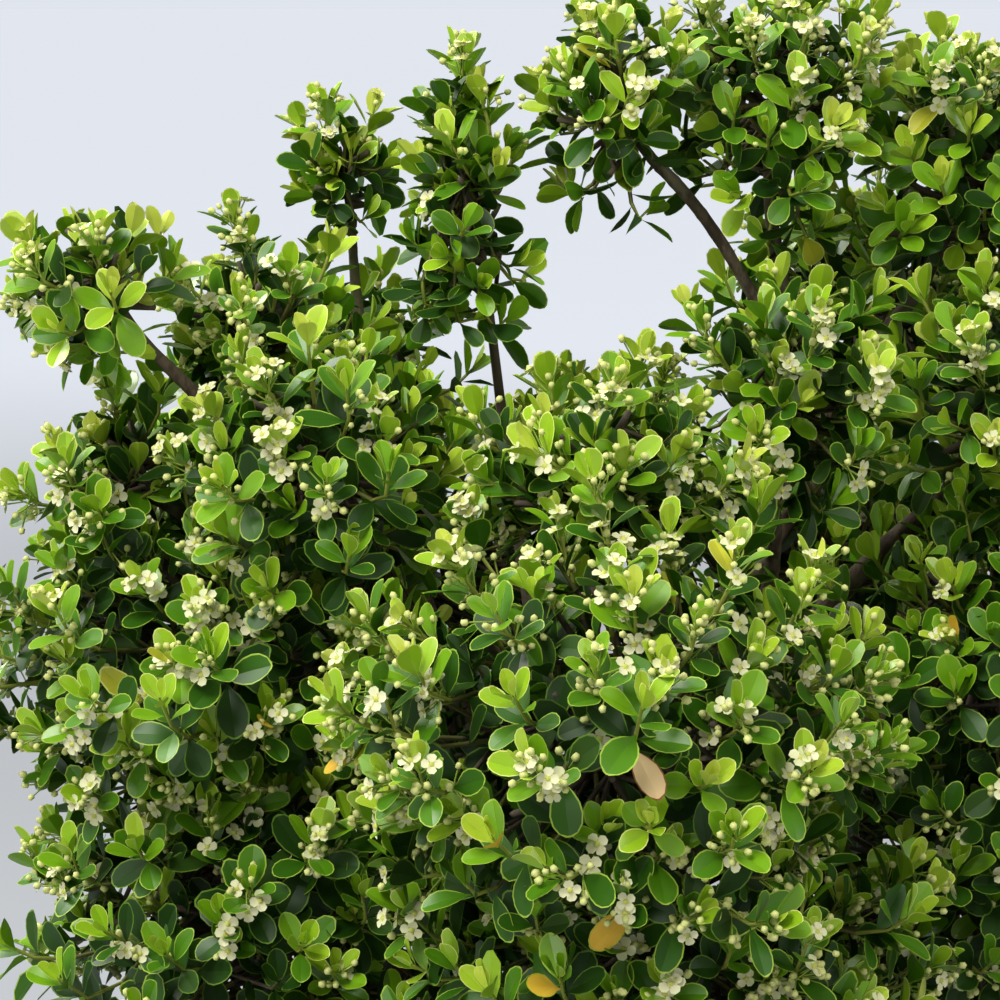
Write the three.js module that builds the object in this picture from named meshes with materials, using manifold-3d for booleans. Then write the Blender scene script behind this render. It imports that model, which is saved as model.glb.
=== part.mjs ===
// A Japanese holly in flower: a small unclipped evergreen shrub on a short forked trunk, in a clay pot.
// Sizes are in millimetres, +Z is up, and the origin is the middle of the pot's flat underside.
// The front of the shrub faces -Y. A bearing is measured in degrees from the front towards +X.

import * as THREE from "three";
import { mergeVertices } from "three/addons/utils/BufferGeometryUtils.js";
import Module from "manifold-3d";

const wasm = await Module();
wasm.setup();

const clearance = 0.3;
const up = new THREE.Vector3(0, 0, 1);
const goldenAngle = Math.PI * (3 - Math.sqrt(5));

// Pot
const potHeight = 240;
const footRadius = 98;
const shoulderRadius = 127;
const rimRadius = 142;
const rimDepth = 38;
const wallThickness = 11;
const floorThickness = 14;
const edgeRound = 3;
const potSides = 32;
const drainRadius = 8;
const drainRing = 58;
const drainCount = 3;
const drainSides = 16;
const drainCutLength = 60;

// Potting soil
const soilLevel = 214;
const soilFlatRadius = 40;
const soilSag = 5;
const soilSides = 28;
const soilClearance = 0.6;

// Trunk
const trunkHeight = 74;
const trunkLean = 9;
const flareRadius = 25;
const flareHeight = 0.22;
const trunkRadius = 15;
const forkRadius = 12;
const trunkSides = 10;
const trunkSteps = 7;

// Boughs
const boughSides = 5;
const boughSteps = 4;
const boughTaper = 1.75;
const boughTipRadius = 1;
const boughSlimness = 34;
const boughRise = 0.17;
const rootShare = 0.8;
const boughSamples = 40;

// The bare heart of the crown, an ellipsoid round the boughs with no leaves in it
const heart = new THREE.Vector3(0, 0, 390);
const heartReach = 78;
const heartTall = 110;

// Three storeys of foliage: rings of even masses low down, and single masses above them.
// out and height place the middle, reach and tall are half its width and half its height.
const rings = [
  { name: "skirt", count: 5, turn: 2, out: 130, height: 340, reach: 99, tall: 90, core: 0.54 },
  { name: "waist", count: 5, turn: 358, out: 146, height: 420, reach: 96, tall: 82, core: 0.54 },
];
const crests = [
  { name: "left_shoulder", bearing: 305, out: 125, height: 490, reach: 64, tall: 54, core: 0.42 },
  { name: "front_crest", bearing: 354, out: 98, height: 488, reach: 60, tall: 46, core: 0.42 },
  { name: "right_crest", bearing: 35, out: 90, height: 518, reach: 48, tall: 46, core: 0 },
  { name: "right_shoulder", bearing: 75, out: 138, height: 504, reach: 66, tall: 60, core: 0.45 },
  { name: "back_right", bearing: 130, out: 135, height: 515, reach: 80, tall: 80, core: 0.5 },
  { name: "back_left", bearing: 232, out: 145, height: 490, reach: 76, tall: 60, core: 0.5 },
  { name: "back_dip", bearing: 185, out: 85, height: 468, reach: 56, tall: 46, core: 0.4 },
  { name: "left_flank", bearing: 285, out: 172, height: 478, reach: 48, tall: 44, core: 0 },
  { name: "left_crest", bearing: 284, out: 128, height: 530, reach: 46, tall: 45, core: 0 },
  { name: "left_tuft", bearing: 290, out: 186, height: 549, reach: 36, tall: 38, core: 0 },
  { name: "back_sprig", bearing: 242, out: 116, height: 582, reach: 26, tall: 30, core: 0 },
  { name: "spire", bearing: 288, out: 57, height: 577, reach: 26, tall: 81, core: 0 },
  { name: "arch", bearing: 350, out: 15, height: 608, reach: 38, tall: 46, core: 0 },
  { name: "top_right", bearing: 90, out: 54, height: 605, reach: 54, tall: 54, core: 0.36 },
  { name: "far_right", bearing: 95, out: 122, height: 585, reach: 62, tall: 60, core: 0.4 },
];

// The limb that each bough leaves, and how far along that limb it does.
const forks = {
  back_left: ["trunk", 0.96],
  back_right: ["trunk", 0.96],
  left_shoulder: ["trunk", 0.96],
  right_shoulder: ["trunk", 0.96],
  front_crest: ["trunk", 0.96],
  spire: ["trunk", 0.98],
  far_right: ["trunk", 0.98],
  top_right: ["far_right", 0.72],
  arch: ["top_right", 0.55],
  left_tuft: ["left_shoulder", 0.62],
  left_crest: ["left_shoulder", 0.75],
  left_flank: ["left_shoulder", 0.5],
  back_sprig: ["back_left", 0.75],
  right_crest: ["right_shoulder", 0.5],
  back_dip: ["back_left", 0.4],
  skirt_1: ["trunk", 0.5],
  skirt_2: ["trunk", 0.62],
  skirt_3: ["trunk", 0.5],
  skirt_4: ["trunk", 0.62],
  skirt_5: ["trunk", 0.56],
  waist_1: ["front_crest", 0.34],
  waist_2: ["right_shoulder", 0.3],
  waist_3: ["back_right", 0.3],
  waist_4: ["back_left", 0.3],
  waist_5: ["left_shoulder", 0.34],
};

// Seeds
const crownSeed = 2311;
const seedStep = 7919;
const drawFactor = 1664525;
const drawStep = 1013904223;
const drawRange = 2 ** 32;

// Stem, twigs and sprays of a mass
const cellMargin = 0.4;
const stemSides = 4;
const stemSteps = 2;
const stemTaper = 0.35;
const stemRise = 0.25;
const barePart = 0.4;
const twigSides = 3;
const twigRadius = 2;
const twigTaper = 0.3;
const twigFootSize = 1.15;
const twigSag = 0.09;
const twigBend = 0.55;
const twigSamples = 6;
const twistTries = 4;
const longTwig = 34;
const largeSprayArea = 15200;
const smallSprayArea = 5600;
const smallMass = 70;
const smallestRoom = 22;
const smallestTip = 6;
const opennessLimit = 0.7;
const coreDetail = 1;
const coreGap = 3;
const looseness = 0.1;

// Leaves, larger than life because each stands for a tuft of small ones
const leafLength = 44;
const leafWidth = 26;
const leafThickness = 2.8;
const leafWidest = 0.16;
const leafStations = [0.25, 0.5, 0.75, 1];
const leafBase = 0.25;
const leafGrowth = 0.52;
const leafSink = 2.5;
const leafGap = 14;
const whorlStep = 9;
const lowestWhorl = 0.3;
const fewestLeaves = 2;
const wideTilt = { spread: 0.87, forward: 0.5, size: 1 };
const closeTilt = { spread: 0.6, forward: 0.8, size: 1 };
const smallTilt = { spread: 0.75, forward: 0.66, size: 0.72 };

// Blossom
const blossomStation = 0.74;
const blossomShare = 0.15;
const blossomRadius = 6;

// Solids

function toSolid(geometry) {
  geometry.deleteAttribute("normal");
  geometry.deleteAttribute("uv");
  const merged = mergeVertices(geometry);
  return new wasm.Manifold(new wasm.Mesh({
    numProp: 3,
    vertProperties: new Float32Array(merged.attributes.position.array),
    triVerts: new Uint32Array(merged.index.array),
  }));
}

function toGeometry(solid) {
  const mesh = solid.getMesh();
  const geometry = new THREE.BufferGeometry();
  geometry.setAttribute("position", new THREE.BufferAttribute(mesh.vertProperties, 3));
  geometry.setIndex(new THREE.BufferAttribute(mesh.triVerts, 1));
  geometry.computeVertexNormals();
  return geometry;
}

// The largest body of a solid: loose scraps and sealed hollows are separate shells, and are left out.
function largestBody(solid) {
  const bodies = solid.decompose();
  return bodies.reduce((best, body) => (body.volume() > best.volume() ? body : best));
}

function boxesMeet(a, b) {
  const boxA = a.boundingBox();
  const boxB = b.boundingBox();
  return [0, 1, 2].every((k) => boxA.min[k] < boxB.max[k] && boxB.min[k] < boxA.max[k]);
}

function clearOf(solid, obstacles) {
  return obstacles.filter((obstacle) => boxesMeet(solid, obstacle))
    .reduce((left, obstacle) => left.subtract(obstacle), solid);
}

// A round limb along a curve, turned about it by twist. grow swells it, to cut its neighbours clear of it.
function limb(path, radiusAt, sides, steps, { grow = 0, twist = 0 } = {}) {
  const shape = new THREE.CylinderGeometry(1, 1, 1, sides, steps).rotateY(twist);
  const frames = path.computeFrenetFrames(steps);
  const position = shape.attributes.position;
  for (let i = 0; i < position.count; i += 1) {
    const step = Math.round((position.getY(i) + 0.5) * steps);
    const radius = radiusAt(step / steps) + grow;
    const point = path.getPointAt(step / steps);
    point.addScaledVector(frames.normals[step], position.getX(i) * radius);
    point.addScaledVector(frames.binormals[step], -position.getZ(i) * radius);
    const ending = step === 0 ? -grow : step === steps ? grow : 0;
    point.addScaledVector(frames.tangents[step], ending);
    position.setXYZ(i, point.x, point.y, point.z);
  }
  return shape;
}

function atBearing(bearing, out, height) {
  const angle = THREE.MathUtils.degToRad(bearing);
  return new THREE.Vector3(out * Math.sin(angle), -out * Math.cos(angle), height);
}

// A pseudo-random sequence between 0 and 1 that is the same on every run.
function seededDraws(seed) {
  let state = seed;
  return () => {
    state = (Math.imul(state, drawFactor) + drawStep) >>> 0;
    return state / drawRange;
  };
}

// Pot and soil

function innerRadiusAt(height) {
  const slope = (shoulderRadius - footRadius) / (potHeight - rimDepth);
  return footRadius - wallThickness + slope * height;
}

function lathe(profile, sides) {
  const points = profile.map(([radius, height]) => new THREE.Vector2(radius, height));
  return new THREE.LatheGeometry(points, sides).rotateX(Math.PI / 2);
}

function potSolid() {
  const rimFoot = potHeight - rimDepth;
  const innerTop = innerRadiusAt(potHeight);
  const wall = toSolid(lathe([
    [0, 0],
    [footRadius - edgeRound, 0],
    [footRadius, edgeRound],
    [shoulderRadius, rimFoot],
    [rimRadius - edgeRound, rimFoot],
    [rimRadius, rimFoot + edgeRound],
    [rimRadius, potHeight - edgeRound],
    [rimRadius - edgeRound, potHeight],
    [innerTop + edgeRound, potHeight],
    [innerTop, potHeight - edgeRound],
    [innerRadiusAt(floorThickness), floorThickness],
    [0, floorThickness],
  ], potSides));
  const drains = Array.from({ length: drainCount }, (_, k) => {
    const hole = new THREE.CylinderGeometry(drainRadius, drainRadius, drainCutLength, drainSides);
    const place = atBearing((360 / drainCount) * k, drainRing, 0);
    return toSolid(hole.rotateX(Math.PI / 2).translate(place.x, place.y, place.z));
  });
  return drains.reduce((pot, drain) => pot.subtract(drain), wall);
}

function soilSolid() {
  const foot = floorThickness + clearance;
  const edge = soilLevel - soilSag;
  return toSolid(lathe([
    [0, foot],
    [innerRadiusAt(foot) - soilClearance, foot],
    [innerRadiusAt(edge) - soilClearance, edge],
    [soilFlatRadius, soilLevel],
    [0, soilLevel],
  ], soilSides));
}

// Masses of foliage: each keeps to its own cell, an ellipsoid cut by a plane towards every other mass.

function massList() {
  const list = [];
  for (const { count, turn, ...ring } of rings) {
    for (let k = 0; k < count; k += 1) {
      list.push({ ...ring, name: `${ring.name}_${k + 1}`, bearing: turn + (360 / count) * k });
    }
  }
  list.push(...crests);
  return list.map((mass, index) => ({
    ...mass,
    seed: crownSeed + seedStep * index,
    middle: atBearing(mass.bearing, mass.out, mass.height),
  }));
}

function ellipsoidReach(mass, direction) {
  const level = (direction.x ** 2 + direction.y ** 2) / mass.reach ** 2;
  return 1 / Math.sqrt(level + direction.z ** 2 / mass.tall ** 2);
}

function addCells(masses) {
  for (const mass of masses) {
    mass.walls = masses.filter((other) => other !== mass).map((other) => {
      const normal = other.middle.clone().sub(mass.middle);
      const span = normal.length();
      normal.normalize();
      const near = ellipsoidReach(mass, normal);
      const far = ellipsoidReach(other, normal);
      return { normal, offset: (span ** 2 + near ** 2 - far ** 2) / (2 * span) - cellMargin };
    });
  }
}

// How far a cell reaches from its middle along a direction.
function cellReach(mass, direction) {
  return mass.walls.reduce((reach, wall) => {
    const facing = wall.normal.dot(direction);
    return facing > 0 ? Math.min(reach, wall.offset / facing) : reach;
  }, ellipsoidReach(mass, direction));
}

function insideCell(mass, point) {
  const offset = point.clone().sub(mass.middle);
  const level = (offset.x ** 2 + offset.y ** 2) / mass.reach ** 2;
  const inEllipsoid = level + offset.z ** 2 / mass.tall ** 2 <= 1;
  return inEllipsoid && mass.walls.every((wall) => wall.normal.dot(offset) <= wall.offset);
}

function inHeart(point) {
  const offset = point.clone().sub(heart);
  return (offset.x ** 2 + offset.y ** 2) / heartReach ** 2 + offset.z ** 2 / heartTall ** 2 < 1;
}

// Trunk and boughs

function trunkLimb() {
  const foot = new THREE.Vector3(0, 0, soilLevel + clearance);
  const fork = new THREE.Vector3(-trunkLean, trunkLean / 2, soilLevel + trunkHeight);
  const bend = new THREE.Vector3(0, 0, soilLevel + trunkHeight / 2);
  const radiusAt = (t) => {
    const flare = Math.max(0, 1 - t / flareHeight) ** 2;
    return THREE.MathUtils.lerp(trunkRadius, forkRadius, t) + (flareRadius - trunkRadius) * flare;
  };
  return { path: new THREE.QuadraticBezierCurve3(foot, bend, fork), radiusAt };
}

// A bough starts along its parent's direction, bends towards its mass and ends at the mass's edge.
function boughLimb(mass, parent, along) {
  const start = parent.path.getPointAt(along);
  const inward = start.clone().sub(mass.middle).normalize();
  const end = mass.middle.clone().addScaledVector(inward, cellReach(mass, inward));
  const span = start.distanceTo(end);
  const onward = parent.path.getTangentAt(along);
  const bend = start.clone().lerp(end, 0.5).addScaledVector(onward, boughRise * span);
  const path = new THREE.QuadraticBezierCurve3(start, bend, end);
  const tip = boughTipRadius + mass.reach / boughSlimness;
  const root = Math.min(tip * boughTaper, parent.radiusAt(along) * rootShare);
  return { path, radiusAt: (t) => THREE.MathUtils.lerp(root, tip, t) };
}

function growLimbs(masses) {
  const limbs = { trunk: trunkLimb() };
  const byName = new Map(masses.map((mass) => [mass.name, mass]));
  for (const [name, [parent, along]] of Object.entries(forks)) {
    limbs[name] = boughLimb(byName.get(name), limbs[parent], along);
  }
  return limbs;
}

// The trunk stays whole, and every bough is cut clear of the limbs before it.
function limbSolids(limbs) {
  const solids = {};
  const swollen = [];
  for (const [name, { path, radiusAt }] of Object.entries(limbs)) {
    const sides = name === "trunk" ? trunkSides : boughSides;
    const steps = name === "trunk" ? trunkSteps : boughSteps;
    solids[name] = largestBody(clearOf(toSolid(limb(path, radiusAt, sides, steps)), swollen));
    swollen.push(toSolid(limb(path, radiusAt, sides, steps, { grow: clearance })));
  }
  return { solids, swollen };
}

// Foliage

function touchesLimb(limbs, points, halfWidth) {
  return Object.values(limbs).some(({ radiusAt, samples }) => samples.some((sample, k) => {
    const room = radiusAt(k / (samples.length - 1)) + halfWidth + clearance;
    return points.some((point) => point.distanceTo(sample) < room);
  }));
}

// A leaf is a long flat octahedron, widest past its middle, whose upper side faces along its twig.
function leafGeometry({ root, direction, face, length }) {
  const leaf = new THREE.OctahedronGeometry(1, 0);
  const position = leaf.attributes.position;
  for (let i = 0; i < position.count; i += 1) {
    if (position.getX(i) === 0) position.setX(i, leafWidest);
  }
  const side = new THREE.Vector3().crossVectors(face, direction).normalize();
  const top = new THREE.Vector3().crossVectors(direction, side);
  const scale = length / leafLength;
  const half = new THREE.Vector3(length / 2, scale * leafWidth / 2, scale * leafThickness / 2);
  const middle = root.clone().addScaledVector(direction, half.x);
  const pose = new THREE.Matrix4().makeBasis(direction, side, top).scale(half).setPosition(middle);
  return leaf.applyMatrix4(pose);
}

// A leaf as a few points: along its midrib, at its two widest corners and at its tip.
function leafPoints({ root, direction, face, length }) {
  const side = new THREE.Vector3().crossVectors(face, direction).normalize();
  const widest = root.clone().addScaledVector(direction, length * (1 + leafWidest) / 2);
  const halfWidth = leafWidth * length / leafLength / 2;
  const midrib = leafStations.map((t) => root.clone().addScaledVector(direction, length * t));
  const corners = [halfWidth, -halfWidth].map((offset) => widest.clone().addScaledVector(side, offset));
  return [...midrib, ...corners];
}

// A leaf is left out where it would leave its mass's cell, crowd another leaf or touch a limb.
function leafFits(leaf, { mass, limbs, taken }) {
  const points = leafPoints(leaf);
  if (!points.every((point) => insideCell(mass, point))) return false;
  if (points.some((point) => taken.some((other) => other.distanceTo(point) < leafGap))) return false;
  return !touchesLimb(limbs, points, leafGap / 2);
}

// The direction of one flat side of a twig, spread out from the twig and leaning forward along it.
function sideDirection(frames, step, twist, side, { spread, forward }) {
  const angle = twist + (2 * side + 1) * Math.PI / twigSides;
  const direction = frames.normals[step].clone().multiplyScalar(spread * Math.sin(angle));
  direction.addScaledVector(frames.binormals[step], -spread * Math.cos(angle));
  return direction.addScaledVector(frames.tangents[step], forward).normalize();
}

// A point on the axis of a limb that is faceted into straight steps.
function axisPoint(path, steps, along) {
  const step = Math.min(Math.floor(along * steps), steps - 1);
  const near = path.getPointAt(step / steps);
  return near.lerp(path.getPointAt((step + 1) / steps), along * steps - step);
}

// The leaves of a twig that fit: a whorl at its tip and one below it, turned between the first, every leaf
// spread wide where it has the room for that, and otherwise closer to the twig or smaller.
function twigLeaves(twig, twist, tilts, growth) {
  const { path, steps, leafSize } = twig;
  const frames = path.computeFrenetFrames(steps);
  const face = frames.tangents[steps];
  const span = path.getLength();
  const bud = axisPoint(path, steps, 1 - leafSink / span);
  const joint = axisPoint(path, steps, Math.max(1 - (leafSink + whorlStep) / span, lowestWhorl));
  const places = [0, 1, 2].flatMap((side) => [[bud, side], [joint, side + 0.5]]);
  return places.map(([root, side]) => tilts.map((tilt) => ({
    root,
    direction: sideDirection(frames, steps, twist, side, tilt),
    face,
    length: leafSize * tilt.size,
  })).find((leaf) => leafFits(leaf, growth))).filter(Boolean);
}

// A spray is one twig with its leaves, and sometimes a cluster of blossom. Of a few turns about the twig,
// it takes the one that leaves most room for its leaves.
function addSpray(growth, from, tip, leafSize) {
  const { pieces, taken, mass, limbs, draw } = growth;
  const span = from.distanceTo(tip);
  const steps = span > longTwig ? 2 : 1;
  const firstTwist = draw() * 2 * Math.PI;
  const hasBlossom = draw() < blossomShare;
  const bend = from.clone().lerp(tip, twigBend).addScaledVector(up, -twigSag * span);
  const path = new THREE.QuadraticBezierCurve3(from, bend, tip);
  if (touchesLimb(limbs, path.getSpacedPoints(twigSamples).slice(1), twigRadius)) return;
  const tilts = mass.reach < smallMass ? [wideTilt, closeTilt, smallTilt] : [wideTilt, closeTilt];
  let best = { leaves: [] };
  for (let k = 0; k < twistTries; k += 1) {
    const twist = firstTwist + k * 2 * Math.PI / (twigSides * twistTries);
    const leaves = twigLeaves({ path, steps, leafSize }, twist, tilts, growth);
    if (leaves.length > best.leaves.length) best = { twist, leaves };
  }
  if (best.leaves.length < fewestLeaves) return;
  const radiusAt = (t) => twigRadius * (twigFootSize - twigTaper * t);
  pieces.push(toSolid(limb(path, radiusAt, twigSides, steps, { twist: best.twist })));
  for (const leaf of best.leaves) {
    pieces.push(toSolid(leafGeometry(leaf)));
    taken.push(...leafPoints(leaf));
  }
  const place = axisPoint(path, steps, blossomStation);
  if (!hasBlossom || touchesLimb(limbs, [place], blossomRadius)) return;
  pieces.push(toSolid(new THREE.OctahedronGeometry(blossomRadius, 0).translate(place.x, place.y, place.z)));
}

// A dense mass has a smaller core, whose corners stand inside the cell.
function coreSolid(mass) {
  const core = new THREE.IcosahedronGeometry(1, coreDetail);
  const position = core.attributes.position;
  for (let i = 0; i < position.count; i += 1) {
    const direction = new THREE.Vector3().fromBufferAttribute(position, i).normalize();
    const wanted = ellipsoidReach(mass, direction) * mass.core;
    const reach = Math.min(wanted, cellReach(mass, direction) - coreGap);
    direction.multiplyScalar(reach).add(mass.middle);
    position.setXYZ(i, direction.x, direction.y, direction.z);
  }
  return toSolid(core);
}

// The stem of a mass carries on from its bough's tip to a little above the middle of the mass.
function stemLimb(mass, bough) {
  const tangent = bough.path.getTangentAt(1);
  const root = bough.path.getPointAt(1).addScaledVector(tangent, clearance);
  const crest = mass.middle.clone().addScaledVector(up, stemRise * mass.tall);
  const bend = root.clone().addScaledVector(tangent, root.distanceTo(crest) / 2);
  const radius = bough.radiusAt(1);
  const path = new THREE.QuadraticBezierCurve3(root, bend, crest);
  return { path, radiusAt: (t) => radius * (1 - stemTaper * t) };
}

// Directions spread evenly over a ball by the golden angle.
function evenDirections(count, phase) {
  return Array.from({ length: count }, (_, k) => {
    const rise = 1 - 2 * (k + 0.5) / count;
    const turn = phase + goldenAngle * k;
    const level = Math.sqrt(1 - rise * rise);
    return new THREE.Vector3(level * Math.cos(turn), level * Math.sin(turn), rise);
  });
}

// A mass grows twigs from its stem to its open sides: not towards a neighbour, nor into the bare heart.
function foliageSolid(mass, limbs, swollen) {
  const draw = seededDraws(mass.seed);
  const stem = stemLimb(mass, limbs[mass.name]);
  const pieces = [toSolid(limb(stem.path, stem.radiusAt, stemSides, stemSteps))];
  if (mass.core > 0) pieces.push(coreSolid(mass));
  const growth = { pieces, taken: [], mass, limbs, draw };
  const leafSize = Math.min(leafLength, leafBase * leafLength + leafGrowth * mass.reach);
  const sprayArea = mass.reach < smallMass ? smallSprayArea * (leafSize / leafLength) ** 2 : largeSprayArea;
  const sprayCount = Math.round(4 * Math.PI * mass.reach * mass.tall / sprayArea);
  for (const direction of evenDirections(sprayCount, draw() * 2 * Math.PI)) {
    const room = cellReach(mass, direction);
    const end = mass.middle.clone().addScaledVector(direction, room);
    const shut = room < opennessLimit * ellipsoidReach(mass, direction);
    if (shut || room < smallestRoom || inHeart(end)) continue;
    const spreadRoom = Math.sqrt(Math.max(room ** 2 - (wideTilt.spread * leafSize) ** 2, 0));
    const tipReach = Math.max(spreadRoom - wideTilt.forward * leafSize, smallestTip);
    const tip = mass.middle.clone().addScaledVector(direction, tipReach);
    const from = stem.path.getPointAt(barePart + (1 - barePart) * (1 + direction.z) / 2);
    addSpray(growth, from, tip, leafSize);
  }
  const joined = pieces.reduce((whole, piece) => whole.add(piece));
  return largestBody(clearOf(joined.asOriginal().simplify(looseness), swollen));
}

// Materials

const finishes = {
  clay: new THREE.MeshStandardMaterial({ color: 0xa9643f, roughness: 0.85, metalness: 0 }),
  soil: new THREE.MeshStandardMaterial({ color: 0x33261c, roughness: 1, metalness: 0 }),
  bark: new THREE.MeshStandardMaterial({ color: 0x5b5148, roughness: 0.9, metalness: 0 }),
  leaf: new THREE.MeshStandardMaterial({ color: 0x5d8a2a, roughness: 0.5, metalness: 0 }),
};

function addPiece(group, name, solid, finish) {
  const mesh = new THREE.Mesh(toGeometry(solid), finishes[finish]);
  mesh.name = name;
  group.add(mesh);
}

const shrub = new THREE.Group();
shrub.name = "potted_japanese_holly";

const masses = massList();
addCells(masses);
const limbs = growLimbs(masses);
for (const branch of Object.values(limbs)) branch.samples = branch.path.getSpacedPoints(boughSamples);
const { solids, swollen } = limbSolids(limbs);

addPiece(shrub, "pot", potSolid(), "clay");
addPiece(shrub, "soil", soilSolid(), "soil");
for (const [name, solid] of Object.entries(solids)) {
  addPiece(shrub, name === "trunk" ? "trunk" : `bough_${name}`, solid, "bark");
}
for (const mass of masses) {
  addPiece(shrub, `foliage_${mass.name}`, foliageSolid(mass, limbs, swollen), "leaf");
}

export default shrub;
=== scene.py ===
# A Japanese holly in flower: an unclipped evergreen shrub in a clay pot, leaf by leaf.
# Blender works in metres; the growing is worked out in millimetres. The crown's front faces -Y.

import math

import bpy
import numpy as np
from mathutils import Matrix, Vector, noise


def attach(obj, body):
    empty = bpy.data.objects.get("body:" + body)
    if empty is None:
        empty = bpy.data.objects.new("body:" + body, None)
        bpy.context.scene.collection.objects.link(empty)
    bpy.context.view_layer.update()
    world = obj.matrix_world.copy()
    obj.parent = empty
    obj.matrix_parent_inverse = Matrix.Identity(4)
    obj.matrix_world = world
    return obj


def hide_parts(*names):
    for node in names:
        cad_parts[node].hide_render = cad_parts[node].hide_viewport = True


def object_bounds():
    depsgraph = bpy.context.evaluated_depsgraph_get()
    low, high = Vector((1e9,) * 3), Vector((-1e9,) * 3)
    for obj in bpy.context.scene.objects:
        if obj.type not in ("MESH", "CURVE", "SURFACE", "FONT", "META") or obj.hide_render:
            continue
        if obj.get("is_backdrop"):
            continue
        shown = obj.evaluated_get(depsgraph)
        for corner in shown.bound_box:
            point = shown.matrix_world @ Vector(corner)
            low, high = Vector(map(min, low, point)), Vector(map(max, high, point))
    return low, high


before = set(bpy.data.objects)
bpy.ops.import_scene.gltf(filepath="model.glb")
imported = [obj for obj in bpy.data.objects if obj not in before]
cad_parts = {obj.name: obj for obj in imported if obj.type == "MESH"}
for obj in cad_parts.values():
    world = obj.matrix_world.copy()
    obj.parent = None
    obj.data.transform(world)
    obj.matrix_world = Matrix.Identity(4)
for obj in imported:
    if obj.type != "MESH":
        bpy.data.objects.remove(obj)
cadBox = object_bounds()
scene = bpy.context.scene
millimetre = 0.001
goldenAngle = math.pi * (3 - math.sqrt(5))
up = np.array([0.0, 0.0, 1.0])
eastward = np.array([1.0, 0.0, 0.0])
boxLow, boxHigh = (np.array(corner) / millimetre for corner in cadBox)
totals = {"leaves": 0, "triangles": 0, "shoots": 0, "blossom": 0}


# Small helpers

def screen(red, green, blue):
    # a colour as seen on a screen, 0 to 255, turned into the linear one that shaders take
    shares = [value / 255 for value in (red, green, blue)]
    return [s / 12.92 if s <= 0.04045 else ((s + 0.055) / 1.055) ** 2.4 for s in shares] + [1.0]


def unit(vectors):
    return vectors / np.maximum(np.linalg.norm(vectors, axis=-1, keepdims=True), 1e-9)


def dot(a, b):
    return (a * b).sum(axis=-1, keepdims=True)


def bezier(start, bend, end, t):
    t = np.asarray(t)[..., None]
    return (1 - t) ** 2 * start + 2 * t * (1 - t) * bend + t ** 2 * end


def bezierTangent(start, bend, end, t):
    t = np.asarray(t)[..., None]
    return unit((1 - t) * (bend - start) + t * (end - bend))


def newParts():
    return {"points": [], "faces": [], "slots": [], "count": 0}


def addPart(parts, points, faces, slots):
    points = points.reshape(-1, 3)
    parts["points"].append(points)
    parts["faces"].append(faces + parts["count"])
    parts["slots"].append(np.broadcast_to(slots, (len(faces),)))
    parts["count"] += len(points)


def buildPiece(name, parts, materials, stands=(), smooth=True):
    # one joined mesh from many small ones, riding on the shrub's only body
    mesh = bpy.data.meshes.new(name)
    points = np.concatenate(parts["points"]) * millimetre
    sizes = np.concatenate([np.full(len(faces), faces.shape[1]) for faces in parts["faces"]])
    corners = np.concatenate([faces.ravel() for faces in parts["faces"]])
    starts = np.concatenate([[0], np.cumsum(sizes)[:-1]])
    mesh.vertices.add(len(points))
    mesh.vertices.foreach_set("co", points.astype(np.float32).ravel())
    mesh.loops.add(len(corners))
    mesh.loops.foreach_set("vertex_index", corners.astype(np.int32))
    mesh.polygons.add(len(sizes))
    mesh.polygons.foreach_set("loop_start", starts.astype(np.int32))
    mesh.polygons.foreach_set("material_index", np.concatenate(parts["slots"]).astype(np.int32))
    mesh.polygons.foreach_set("use_smooth", np.full(len(sizes), smooth))
    mesh.update(calc_edges=True)
    mesh.validate()
    for material in materials:
        mesh.materials.append(material)
    piece = bpy.data.objects.new(name, mesh)
    scene.collection.objects.link(piece)
    totals["triangles"] += int((sizes - 2).sum())
    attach(piece, "root")
    if stands:
        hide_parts(*stands)
    return piece


def ringAngles(sides):
    return np.arange(sides) * 2 * math.pi / sides


def ringFaces(index):
    # the four-cornered faces between neighbouring rings, from the numbers of the rings' points
    onward = np.roll(index, -1, axis=-1)
    corners = [index[..., :-1, :], onward[..., :-1, :], onward[..., 1:, :], index[..., 1:, :]]
    return np.stack(corners, axis=-1).reshape(-1, 4)


def squareTo(axes, steep=0.8):
    # a direction at right angles to each axis, level unless the axis is steep
    return np.cross(axes, np.where(np.abs(axes[:, 2:]) < steep, up, eastward))


def tubes(parts, points, tangents, radii, sides, slots, capped=True):
    # round limbs along many paths at once: points is paths x stations x 3, radii is paths x stations
    count, stations = radii.shape
    across = squareTo(unit(points[:, -1] - points[:, 0]))
    normal = unit(across[:, None] - dot(across[:, None], tangents) * tangents)
    binormal = np.cross(tangents, normal)
    angles = ringAngles(sides)
    ring = np.cos(angles)[:, None] * normal[:, :, None] + np.sin(angles)[:, None] * binormal[:, :, None]
    skin = points[:, :, None] + ring * radii[:, :, None, None]
    index = np.arange(count * stations * sides).reshape(count, stations, sides)
    slots = np.broadcast_to(slots, (count, stations - 1))
    first = parts["count"]
    addPart(parts, skin, ringFaces(index), np.repeat(slots, sides))
    if capped:
        parts["faces"].append(np.concatenate([index[:, 0, ::-1], index[:, -1]]) + first)
        parts["slots"].append(np.concatenate([slots[:, 0], slots[:, -1]]))


def curvedTubes(parts, curves, radius, taper, stations, sides, slots, capped=True):
    # limbs along curves; taper gives the shares of the radius that they start with and lose by their end
    t = np.linspace(0, 1, stations)[None]
    radii = np.broadcast_to(radius * (taper[0] - taper[1] * t), (len(curves[0]), stations))
    tubes(parts, bezier(*curves, t), bezierTangent(*curves, t), radii, sides, slots, capped)


def atBearing(bearing, out, height):
    angle = math.radians(bearing)
    return np.array([out * math.sin(angle), -out * math.cos(angle), height])


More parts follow.
